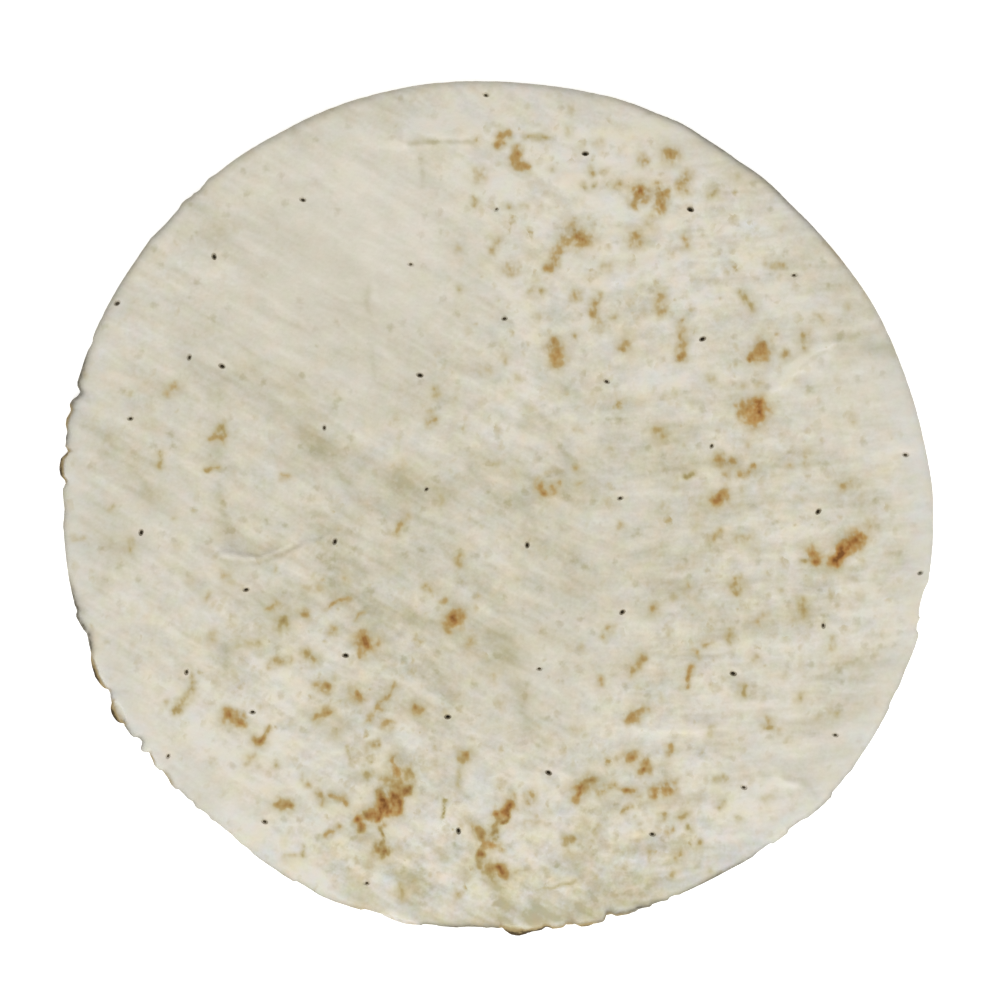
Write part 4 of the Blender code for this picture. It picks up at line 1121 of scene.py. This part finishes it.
def filled(loop, inner):
    """Triangles over a loop and the points inside it, numbered in that order."""
    points = [Vector(point) for point in np.concatenate([loop, inner]).tolist()]
    edges = [(step, (step + 1) % len(loop)) for step in range(len(loop))]
    return np.array(delaunay_2d_cdt(points, edges, [], 1, MERGE_GAP)[2])


def skin_mesh(shape):
    """The closed disc at full detail: skin, rim and underside."""
    steps = shape.rim_steps
    bearings = np.linspace(0.0, 2.0 * math.pi, steps, endpoint=False)
    quarter = math.pi / 2
    angles = [quarter * step / SHOULDER_RINGS for step in range(SHOULDER_RINGS + 1)]
    angles += [quarter * (1.0 + step / BASE_RINGS) for step in range(1, BASE_RINGS + 1)]
    rings = [rim_points(bearings, angle) for angle in angles]
    for ring, angle in zip(rings, angles):
        if angle < quarter:
            plan = ring[:, :2]
            ring[:, 2] += (pin_relief(plan) + drift_relief(plan) + crease_relief(plan)) * math.cos(angle) ** 2
    vertices = np.concatenate(rings)

    step = np.arange(steps)
    after = (step + 1) % steps
    faces = []
    for ring in range(len(rings) - 1):
        upper = ring * steps
        lower = upper + steps
        quads = np.column_stack([upper + step, lower + step, lower + after, upper + after])
        faces += quads.tolist()

    top = lattice(shape.skin_spacing, SHOULDER_INSET + LOOP_GAP * shape.skin_spacing, busy_skin)
    triangles = filled(rings[0][:, :2], top)
    own = np.concatenate([step, len(vertices) + np.arange(len(top))])
    faces += own[triangles].tolist()
    vertices = np.concatenate([vertices, np.column_stack([top, skin_height(top)])])

    base = lattice(shape.base_spacing, BASE_INSET + LOOP_GAP * shape.base_spacing)
    triangles = filled(rings[-1][:, :2], base)
    own = np.concatenate([(len(rings) - 1) * steps + step, len(vertices) + np.arange(len(base))])
    faces += own[triangles][:, ::-1].tolist()
    dent = BASE_DENT * np.maximum(noise_at(base, BASE_DENT_SIZE, BASE_SEED), 0.0)
    vertices = np.concatenate([vertices, np.column_stack([base, dent])])

    mesh = bpy.data.meshes.new("crust_finish")
    mesh.from_pydata(vertices.tolist(), [], faces)
    mesh.validate()
    return mesh


def add_object(name, data):
    thing = bpy.data.objects.new(name, data)
    bpy.context.scene.collection.objects.link(thing)
    return thing


def positions_of(mesh):
    flat = np.zeros(3 * len(mesh.vertices), np.float32)
    mesh.vertices.foreach_get("co", flat)
    return flat.reshape(-1, 3).astype(float)


def keep_in_box(mesh):
    """Holds the relief inside the solid's own box."""
    points = np.clip(positions_of(mesh), np.array(CRUST_LOW), np.array(CRUST_HIGH))
    mesh.vertices.foreach_set("co", points.astype(np.float32).ravel())
    mesh.update()


def store(mesh, name, values):
    """Keeps one number for each vertex under a name that the trees and the material read."""
    attribute = mesh.attributes.get(name) or mesh.attributes.new(name, "FLOAT", "POINT")
    attribute.data.foreach_set("value", np.asarray(values, np.float32))


# ---------------------------------------------------------------------------------------------
# Arithmetic for node trees
# ---------------------------------------------------------------------------------------------


class Term:
    """A socket that takes part in arithmetic: each operator adds one Math node."""

    def __init__(self, graph, socket):
        self.graph = graph
        self.socket = socket

    def __add__(self, other):
        return self.graph.math("ADD", self, other)

    __radd__ = __add__

    def __sub__(self, other):
        return self.graph.math("SUBTRACT", self, other)

    def __rsub__(self, other):
        return self.graph.math("SUBTRACT", other, self)

    def __mul__(self, other):
        return self.graph.math("MULTIPLY", self, other)

    __rmul__ = __mul__

    def __truediv__(self, other):
        return self.graph.math("DIVIDE", self, other)

    def __rtruediv__(self, other):
        return self.graph.math("DIVIDE", other, self)

    def __pow__(self, other):
        return self.graph.math("POWER", self, other)

    def __abs__(self):
        return self.graph.math("ABSOLUTE", self)

    def outlet(self, name):
        """Another output of the node that this term came from."""
        return Term(self.graph, pick(self.socket.node.outputs, name))


def pick(sockets, name):
    """The socket in use with that name, identifier or index."""
    if isinstance(name, int):
        return sockets[name]
    for socket in sockets:
        if socket.enabled and name in (socket.name, socket.identifier):
            return socket
    raise KeyError(f"no socket {name!r} among {[socket.name for socket in sockets]}")


class Graph:
    """Adds nodes to one tree, of a material or of geometry."""

    def __init__(self, tree):
        self.tree = tree
        tree.nodes.clear()

    def node(self, kind, settings=None, sockets=None, out=0):
        """A node of that type: its settings first, then its sockets' values or links."""
        made = self.tree.nodes.new(kind)
        for name, value in (settings or {}).items():
            if name == "stops":
                while len(made.color_ramp.elements) < len(value):
                    made.color_ramp.elements.new(0.5)
                for element, (position, colour) in zip(made.color_ramp.elements, value):
                    element.position = position
                    element.color = colour
            else:
                setattr(made, name, value)
        for name, value in (sockets or {}).items():
            socket = pick(made.inputs, name)
            for part in value if isinstance(value, list) else [value]:
                if isinstance(part, Term):
                    self.tree.links.new(part.socket, socket)
                else:
                    socket.default_value = part
        return Term(self, pick(made.outputs, out)) if made.outputs else made

    def math(self, operation, *values, clamp=False):
        settings = {"operation": operation, "use_clamp": clamp}
        return self.node("ShaderNodeMath", settings, dict(enumerate(values)))

    def vector(self, operation, *values):
        return self.node("ShaderNodeVectorMath", {"operation": operation}, dict(enumerate(values)))

    def portion(self, value, times):
        """A value so many times over, held between 0 and 1."""
        return self.math("MULTIPLY", value, times, clamp=True)

    def least(self, first, second):
        return self.math("MINIMUM", first, second)

    def largest(self, first, second):
        return self.math("MAXIMUM", first, second)

    def step(self, value, low, high):
        """A smooth step of a value from 0 at low to 1 at high."""
        settings = {"interpolation_type": "SMOOTHSTEP"}
        limits = {"Value": value, "From Min": low, "From Max": high, "To Min": 0.0, "To Max": 1.0}
        return self.node("ShaderNodeMapRange", settings, limits, "Result")

    def noise(self, vector, size, detail=2.0, rough=0.5, out="Fac"):
        """Noise with features of about that size, in metres."""
        values = {"Vector": vector, "Scale": 1.0 / size, "Detail": detail, "Roughness": rough}
        return self.node("ShaderNodeTexNoise", None, values, out)

    def swing(self, vector, size, detail=2.0, rough=0.5):
        """Noise that swings about nought, mostly between -0.3 and 0.3."""
        return self.noise(vector, size, detail, rough) * 2.0 - 1.0

    def cells(self, vector, size):
        """Distance from the nearest of scattered points, and three lots drawn for that point."""
        distance = self.node(
            "ShaderNodeTexVoronoi", {"feature": "F1"}, {"Vector": vector, "Scale": 1.0 / size}, "Distance"
        )
        red = self.node("ShaderNodeSeparateColor", None, {"Color": distance.outlet("Color")}, "Red")
        return distance, red, red.outlet("Green"), red.outlet("Blue")

    def mix(self, share, first, second, blend="MIX"):
        """A mix of two colours."""
        settings = {"data_type": "RGBA", "blend_type": blend, "clamp_factor": True}
        values = {"Factor_Float": share, "A_Color": first, "B_Color": second}
        return self.node("ShaderNodeMix", settings, values, "Result_Color")

    def stretched(self, vector, stretch, bearing, shift=(0.0, 0.0, 0.0)):
        """Coordinates that draw a pattern out so many times along a bearing in degrees."""
        turn = (0.0, 0.0, math.radians(bearing))
        values = {"Vector": vector, "Location": shift, "Rotation": turn, "Scale": (stretch, 1.0, 1.0)}
        return self.node("ShaderNodeMapping", {"vector_type": "TEXTURE"}, values)

    def surface(self, sockets):
        """Ends a material's tree in one shader with those sockets."""
        shader = self.node("ShaderNodeBsdfPrincipled", None, sockets, "BSDF")
        self.node("ShaderNodeOutputMaterial", None, {"Surface": shader})


class GeometryGraph(Graph):
    """A geometry tree with named inputs, run on one object and then applied."""

    def __init__(self, name):
        tree = bpy.data.node_groups.new(name, "GeometryNodeTree")
        super().__init__(tree)
        for way in ("INPUT", "OUTPUT"):
            tree.interface.new_socket("Geometry", in_out=way, socket_type="NodeSocketGeometry")
        self.values = {}
        self.entry = tree.nodes.new("NodeGroupInput")

    def input(self, name, value, kind="Float"):
        """A named input of the tree, and the value that this crust gives it."""
        socket = self.tree.interface.new_socket(name, in_out="INPUT", socket_type="NodeSocket" + kind)
        self.values[socket.identifier] = value
        return Term(self, self.entry.outputs[name])

    def geometry(self):
        return Term(self, self.entry.outputs["Geometry"])

    def attribute(self, name):
        kind = "GeometryNodeInputNamedAttribute"
        return self.node(kind, {"data_type": "FLOAT"}, {"Name": name}, "Attribute")

    def keep(self, geometry, name, value):
        """Stores a value on a geometry's points under a name."""
        settings = {"data_type": "FLOAT", "domain": "POINT"}
        values = {"Geometry": geometry, "Name": name, "Value": value}
        return self.node("GeometryNodeStoreNamedAttribute", settings, values)

    def chance(self, seed):
        settings = {"data_type": "FLOAT"}
        return self.node("FunctionNodeRandomValue", settings, {"Min": 0.0, "Max": 1.0, "Seed": seed}, "Value")

    def along_z(self, amount):
        return self.node("ShaderNodeCombineXYZ", None, {"Z": amount})

    def at_nearest(self, geometry, name, nearest):
        """A stored value of the nearest of a geometry's points."""
        settings = {"data_type": "FLOAT", "domain": "POINT"}
        values = {"Geometry": geometry, "Value": self.attribute(name), "Index": nearest}
        return self.node("GeometryNodeSampleIndex", settings, values, "Value")

    def finish(self, geometry, material):
        """Ends the tree in Realize Instances and Set Material."""
        real = self.node("GeometryNodeRealizeInstances", None, {"Geometry": geometry})
        done = self.node("GeometryNodeSetMaterial", None, {"Geometry": real, "Material": material})
        self.node("NodeGroupOutput", None, {"Geometry": done})

    def apply(self, thing):
        """Runs the tree on an object and keeps the result as its plain mesh."""
        modifier = thing.modifiers.new(self.tree.name, "NODES")
        modifier.node_group = self.tree
        for identifier, value in self.values.items():
            modifier[identifier] = value
        graph = bpy.context.evaluated_depsgraph_get()
        mesh = bpy.data.meshes.new_from_object(
            thing.evaluated_get(graph), preserve_all_data_layers=True, depsgraph=graph
        )
        thing.modifiers.remove(modifier)
        old = thing.data
        thing.data = mesh
        bpy.data.meshes.remove(old)
        mesh.name = thing.name


# ---------------------------------------------------------------------------------------------
# Geometry trees
# ---------------------------------------------------------------------------------------------


def docking_graph(places, shape, material):
    """Presses a tapered, collared pin into the dough at every place of another mesh."""
    g = GeometryGraph("docking")
    pins = g.input("Places", places, "Object")
    radius = g.input("Pin Radius", shape.pin_radius)
    depth = g.input("Pin Depth", shape.pin_depth)
    collar_radius = g.input("Collar Radius", shape.collar_radius)
    collar_depth = g.input("Collar Depth", PIN_COLLAR_DEPTH)
    sides = g.input("Sides", PIN_SIDES, "Int")

    points = g.node("GeometryNodeObjectInfo", {"transform_space": "ORIGINAL"}, {"Object": pins}, "Geometry")
    turn = g.along_z(g.attribute("lean"))
    grip = g.attribute("grip")
    width = SHALLOW_WIDTH + (1.0 - SHALLOW_WIDTH) * grip
    scale = g.node("ShaderNodeCombineXYZ", None, {"X": PIN_WIDE * width, "Y": PIN_NARROW * width, "Z": grip})
    cutters = []
    for low, high, bottom, top in (
        (PIN_TAPER * radius, radius, -1.0 * depth, 0.4 * collar_depth),
        (radius, collar_radius, -1.0 * collar_depth, 1.0 * collar_depth),
    ):
        sizes = {"Vertices": sides, "Radius Bottom": low, "Radius Top": high, "Depth": top - bottom}
        cone = g.node("GeometryNodeMeshCone", None, sizes, "Mesh")
        pin = g.node("GeometryNodeTransform", None, {"Geometry": cone, "Translation": g.along_z(bottom)})
        values = {"Points": points, "Instance": pin, "Rotation": turn, "Scale": scale}
        row = g.node("GeometryNodeInstanceOnPoints", None, values)
        cutters.append(g.node("GeometryNodeRealizeInstances", None, {"Geometry": row}))
    settings = {"operation": "DIFFERENCE", "solver": "MANIFOLD"}
    docked = g.node("GeometryNodeMeshBoolean", settings, {"Mesh 1": g.geometry(), "Mesh 2": cutters}, "Mesh")
    g.finish(docked, material)
    return g


def relief_graph(shape, material):
    """Raises lumps, fine wrinkles and small scattered blisters on the skin, and marks the
    blisters' tops for the material."""
    g = GeometryGraph("skin_relief")
    lump_height = g.input("Lump Height", shape.lump_height)
    lump_size = g.input("Lump Size", LUMP_SIZE)
    wrinkle_height = g.input("Wrinkle Height", shape.wrinkle_height)
    wrinkle_size = g.input("Wrinkle Size", WRINKLE_SIZE)
    density = g.input("Blister Density", shape.blister_density)
    smallest = g.input("Smallest Blister", BLISTER_RADII[0])
    largest = g.input("Largest Blister", BLISTER_RADII[1])
    rise = g.input("Blister Rise", shape.blister_rise)
    seed = g.input("Seed", shape.seed, "Int")

    skin = g.attribute("skin")
    flecked = g.attribute("flecking")
    place = g.node("GeometryNodeInputPosition")
    lump = g.noise(place, lump_size)
    lumps = (lump - 0.5) * 2.0 * lump_height * (0.4 + flecked)
    turn = {"Vector": place, "Angle": math.radians(WRINKLE_BEARING)}
    drawn = g.node("ShaderNodeVectorRotate", {"rotation_type": "Z_AXIS"}, turn)
    wrinkle = g.noise(g.vector("MULTIPLY", drawn, WRINKLE_STRETCH), wrinkle_size, 1.0)
    wrinkles = (0.5 - abs(wrinkle - 0.5) * 4.0) * wrinkle_height * (1.0 - 0.7 * flecked)

    kind = "GeometryNodeDistributePointsOnFaces"
    spread = {"Mesh": g.geometry(), "Density": density * flecked * skin, "Seed": seed}
    scattered = g.node(kind, {"distribute_method": "RANDOM"}, spread, "Points")
    reach = smallest + (largest - smallest) * g.chance(seed + 1) ** 3.0
    scattered = g.keep(scattered, "reach", reach)
    scattered = g.keep(scattered, "tint", g.chance(seed + 2))

    stir = g.noise(place, BLISTER_STIR_SIZE, out="Color")
    shift = g.vector("MULTIPLY", g.vector("SUBTRACT", stir, (0.5, 0.5, 0.5)), (BLISTER_STIR,) * 3)
    around = {"Geometry": scattered, "Sample Position": g.vector("ADD", place, shift)}
    nearest = g.node("GeometryNodeSampleNearest", {"domain": "POINT"}, around)
    gap = g.node("GeometryNodeProximity", {"target_element": "POINTS"}, around, "Distance")
    radius = g.at_nearest(scattered, "reach", nearest)
    share = g.math("SUBTRACT", 1.0, gap / radius, clamp=True)
    dome = share * (2.0 - share)
    blisters = dome * dome * rise * radius / largest

    kept = g.keep(g.geometry(), "fleck", share * g.at_nearest(scattered, "tint", nearest))
    raised = {"Geometry": kept, "Offset": g.along_z((lumps + wrinkles + blisters) * skin)}
    g.finish(g.node("GeometryNodeSetPosition", None, raised), material)
    return g


# ---------------------------------------------------------------------------------------------
# The materials
# ---------------------------------------------------------------------------------------------


def new_material(name):
    material = bpy.data.materials.new(name)
    material.use_nodes = True
    return material, Graph(material.node_tree)


def dough_material(colours):
    """Floury dough with mottling, flecks, toasted blisters, dark pin holes and brown flash."""
    material, g = new_material("toasted_dough")
    place = g.node("ShaderNodeTexCoord", out="Object")
    kind = "ShaderNodeAttribute"
    skin = {
        name: g.node(kind, {"attribute_type": "GEOMETRY", "attribute_name": name}, out="Fac")
        for name in SHOWN_MARKS
    }
    flecking = skin["flecking"]
    lively = skin["lively"]

    # Plain dough: damper hollows, pale pillows and a finer mottle on both; the hollows' dark is partly
    # painted shade and the pillows' pale partly painted light.
    small = g.swing(place, SMALL_SIZE, 1.0)
    fine = g.swing(place, FINE_SIZE, 1.0, 0.7)
    grain = g.swing(place, GRAIN_SIZE, 2.0, 0.6)
    side = g.step(g.node("ShaderNodeSeparateXYZ", None, {"Vector": place}, "X"), *ROLL_CHANGE)

    def drawn(times, size, detail):
        """Noise drawn out the way the dough was rolled: aslant, but level on the right."""
        left = g.swing(g.stretched(place, times, ROLLED_LEFT), size, detail)
        right = g.swing(g.stretched(place, times, ROLLED_RIGHT), size, detail)
        return left + (right - left) * side

    middling = drawn(2.6, MIDDLING_SIZE, 2.0)
    mottle = 0.55 * g.swing(place, BROAD_SIZE, 0.0) + 1.15 * middling + (0.45 + 0.40 * flecking) * small
    mottle = mottle + 0.80 * drawn(4.5, DRAWN_SIZE, 1.0) + 0.45 * fine + 0.15 * grain
    nearest, lot, _, _ = g.cells(place, SPECK_SPACING)
    speck = g.step(nearest + fine * 0.14, 0.33, 0.06) * g.step(lot + g.least(lively, 1.05), 1.15, 1.45)
    # The tone and the creases also paint light and shade into the colour: painted shade in hollows and
    # creases, painted light on pillows and ridges.
    state = skin["tone"] + 0.24 * flecking + lively * mottle - 0.75 * skin["crease"] - 0.85 * speck
    dough = g.mix(g.portion(state, 1.0), colours.plain, colours.pale)
    dough = g.mix(g.portion(state, -0.70), dough, colours.damp_and_shade)
    dough = g.mix(skin["flour"], dough, colours.floury)
    tinge = g.swing(place, TINGE_SIZE, 2.0, 0.6) * (1.40 * lively - 0.55)
    hue = g.swing(place, HUE_SIZE, 2.0, 0.6) * (0.2 + lively)
    for turn, above, below in ((tinge, WARM_TINGE, COOL_TINGE), (hue, PINK_TINGE, GREEN_TINGE)):
        dough = g.mix(g.portion(turn, 1.3), dough, above, "MULTIPLY")
        dough = g.mix(g.portion(turn, -1.3), dough, below, "MULTIPLY")

    # Small flecks of three sizes, taller than wide, thickest where the skin blistered.
    stir = g.vector("SUBTRACT", g.noise(place, FLECK_STIR_SIZE, out="Color"), (0.5, 0.5, 0.5))
    wandering = g.vector("ADD", place, g.vector("MULTIPLY", stir, (FLECK_STIR, FLECK_STIR, 0.0)))
    tint = 0.0
    for size, bearing, chance, strength in FLECK_SIZES:
        drawn_out = g.stretched(wandering, FLECK_STRETCH, bearing, (0.0, 0.0, bearing * MM))
        gap, lot, width, depth = g.cells(drawn_out, size)
        spot = g.step(gap / (0.24 + 0.34 * width), 1.50, 0.15)
        lucky = g.step(lot - (1.0 - chance * (flecking + 0.6 * (lively - 0.62))), -0.02, 0.06)
        tint = tint + spot * lucky * strength * (0.35 + 0.65 * depth)

    # The toasted marks, broken up into smaller tips by the lumps of the skin.
    streaks = g.swing(g.stretched(place, 2.2, STREAK_BEARING), STREAK_SIZE, 1.0)
    crumbs = g.swing(place, CRUMB_SIZE, 1.0)
    uneven = 0.98 + 0.70 * g.swing(place, CLOT_SIZE, 1.0) + 0.50 * crumbs + 0.42 * streaks
    top = g.step(skin["fleck"] + fine * 0.35, 0.15, 0.90) * 0.38
    flecks = g.largest(top, tint) * (1.0 + 0.9 * crumbs)
    level = g.largest(g.largest(skin["toast"] * uneven, flecks), 0.0)
    ramps = []
    for middle in (
        (colours.tan, colours.orange, colours.brown),
        (colours.moss, colours.olive, colours.bronze),
    ):
        shades = (colours.blush, *middle, colours.dark)
        stops = tuple((heat / HEATS[-1], shade) for heat, shade in zip(HEATS, shades))
        ramps.append(g.node("ShaderNodeValToRGB", {"stops": stops}, {"Fac": level / HEATS[-1]}, "Color"))
    halo = g.step(level, 0.55, 0.15)
    toasted = g.mix(skin["golden"] + 0.45 * halo * (1.0 - skin["golden"]), *ramps)
    colour = g.mix(g.portion(level, 1.75), dough, toasted)

    # The rim's painted shade, brown along the flash at its foot, and painted shade in the pin holes.
    # Painted shade along the side of the rim, broken up a little by noise.
    painted_shade = g.least(skin["shade"], MOST_PAINTED_SHADE) * (1.0 + 0.5 * fine + 0.3 * small)
    colour = g.mix(painted_shade, colour, colours.rim_shade_colour)
    burnt = g.least(skin["scorch"] * (1.0 + 0.5 * small + 0.4 * fine), 1.0)
    flash = g.mix(g.step(burnt, 0.50, 0.92), colours.crisp, colours.char)
    colour = g.mix(g.step(burnt, 0.02, 0.55), colour, flash)
    # Painted shade round each hole's mouth and down inside it.
    mouth_shade = g.step(skin["hole"] + fine * 0.5, 1.35, 0.55) * skin["grip"]
    colour = g.mix(g.largest(mouth_shade * 0.55, g.step(skin["pit"], 0.15, 0.9)), colour, colours.pit)

    height = 0.45 * fine + 0.25 * grain + 0.35 * small + 0.5 * level
    bump = {"Height": height, "Strength": 0.45, "Distance": BUMP_DEPTH}
    g.surface(
        {
            "Base Color": colour,
            "Roughness": 0.90 - 0.16 * g.least(level, 1.0) - 0.04 * middling,
            "Normal": g.node("ShaderNodeBump", None, bump, "Normal"),
            "IOR": 1.42,
            "Specular IOR Level": 0.35,
        }
    )
    return material


def floor_material(colour, glow):
    material, g = new_material("studio_floor")
    glowing = {"Emission Color": WHITE, "Emission Strength": glow}
    g.surface({"Base Color": tuple(colour), "Roughness": 0.9, **glowing})
    return material


# ---------------------------------------------------------------------------------------------
# Operators
# ---------------------------------------------------------------------------------------------


class CRUST_OT_finish(Operator):
    """Build the docked, blistered and toasted crust"""

    bl_idname = "crust.finish"
    bl_label = "Parbaked crust"

    def execute(self, context):
        shape = context.scene.crust_shape
        material = dough_material(context.scene.crust_colours)
        crust = add_object("crust_finish", skin_mesh(shape))

        places, grips, leans = docking()
        heights = top_height(places) + pin_relief(places)
        spots = bpy.data.meshes.new("pin_places")
        spots.from_pydata(np.column_stack([places, heights]).tolist(), [], [])
        store(spots, "grip", grips)
        store(spots, "lean", leans)
        pins = add_object("pin_places", spots)
        docking_graph(pins, shape, material).apply(crust)
        bpy.data.objects.remove(pins)

        mark_skin(crust.data)
        relief_graph(shape, material).apply(crust)
        keep_in_box(crust.data)
        crust.data.materials.clear()
        crust.data.materials.append(material)
        crust.data.shade_smooth()
        crust.data.set_sharp_from_angle(angle=math.radians(SHARP_ANGLE))
        if len(crust.data.vertices) < LEAST_POINTS:
            raise RuntimeError("the crust's skin came out empty")
        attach(crust, BODY)
        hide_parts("crust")
        return {"FINISHED"}


def floor_mesh():
    half = FLOOR_SIDE / 2
    corners = [(-half, -half), (half, -half), (half, half), (-half, half)]
    mesh = bpy.data.meshes.new("floor")
    mesh.from_pydata([(x, y, CAD_LOW.z - FLOOR_DROP) for x, y in corners], [], [(0, 1, 2, 3)])
    return mesh


def key_lamp(share):
    """A large round lamp that lights the floor with that share of full white."""
    lamp = bpy.data.lights.new("key", "AREA")
    lamp.shape = "DISK"
    lamp.size = KEY_SIZE
    distance = Vector(KEY_PLACE).length
    drop = KEY_PLACE[2] / distance
    area = math.pi * (KEY_SIZE / 2) ** 2
    radiance = math.pi * share * distance**2 / (area * drop)
    lamp.energy = radiance * area * math.pi
    return lamp


class CRUST_OT_stage(Operator):
    """Lay the floor, hang the lights and set the camera straight above the crust"""

    bl_idname = "crust.stage"
    bl_label = "Studio stage"

    def execute(self, context):
        look = context.scene.crust_stage
        floor = add_object("floor", floor_mesh())
        floor.data.materials.append(floor_material(look.floor_colour, look.glow))

        world = bpy.data.worlds.new("studio")
        world.use_nodes = True
        background = world.node_tree.nodes["Background"]
        background.inputs["Color"].default_value = WHITE
        background.inputs["Strength"].default_value = look.sky
        context.scene.world = world

        key = add_object("key", key_lamp(look.key))
        key.location = KEY_PLACE
        key.rotation_euler = (-Vector(KEY_PLACE)).to_track_quat("-Z", "Y").to_euler()

        camera = add_object("camera", bpy.data.cameras.new("camera"))
        camera.data.lens = look.lens
        camera.data.sensor_width = SENSOR
        camera.data.clip_start = NEAR_CLIP
        camera.location = (*AIM, WIDEST_LEVEL + look.frame_width * look.lens / SENSOR)
        context.scene.camera = camera
        context.scene.view_settings.view_transform = "Standard"
        return {"FINISHED"}


class CRUST_PT_sidebar(Panel):
    """Lists the crust's sizes, colours and steps"""

    bl_label = "Parbaked crust"
    bl_idname = "CRUST_PT_sidebar"
    bl_space_type = "VIEW_3D"
    bl_region_type = "UI"
    bl_category = "Crust"

    def draw(self, context):
        layout = self.layout
        scene = context.scene
        for group in (scene.crust_shape, scene.crust_colours, scene.crust_stage):
            box = layout.box()
            for name in group.__annotations__:
                box.prop(group, name)
        layout.operator(CRUST_OT_finish.bl_idname)
        layout.operator(CRUST_OT_stage.bl_idname)


CLASSES = (CrustShape, CrustColours, CrustStage, CRUST_OT_finish, CRUST_OT_stage, CRUST_PT_sidebar)


def register():
    for each in CLASSES:
        bpy.utils.register_class(each)
    bpy.types.Scene.crust_shape = PointerProperty(type=CrustShape)
    bpy.types.Scene.crust_colours = PointerProperty(type=CrustColours)
    bpy.types.Scene.crust_stage = PointerProperty(type=CrustStage)


def unregister():
    del bpy.types.Scene.crust_stage
    del bpy.types.Scene.crust_colours
    del bpy.types.Scene.crust_shape
    for each in reversed(CLASSES):
        bpy.utils.unregister_class(each)


def main():
    register()
    bpy.ops.crust.finish()
    bpy.ops.crust.stage()


if __name__ == "__main__":
    main()
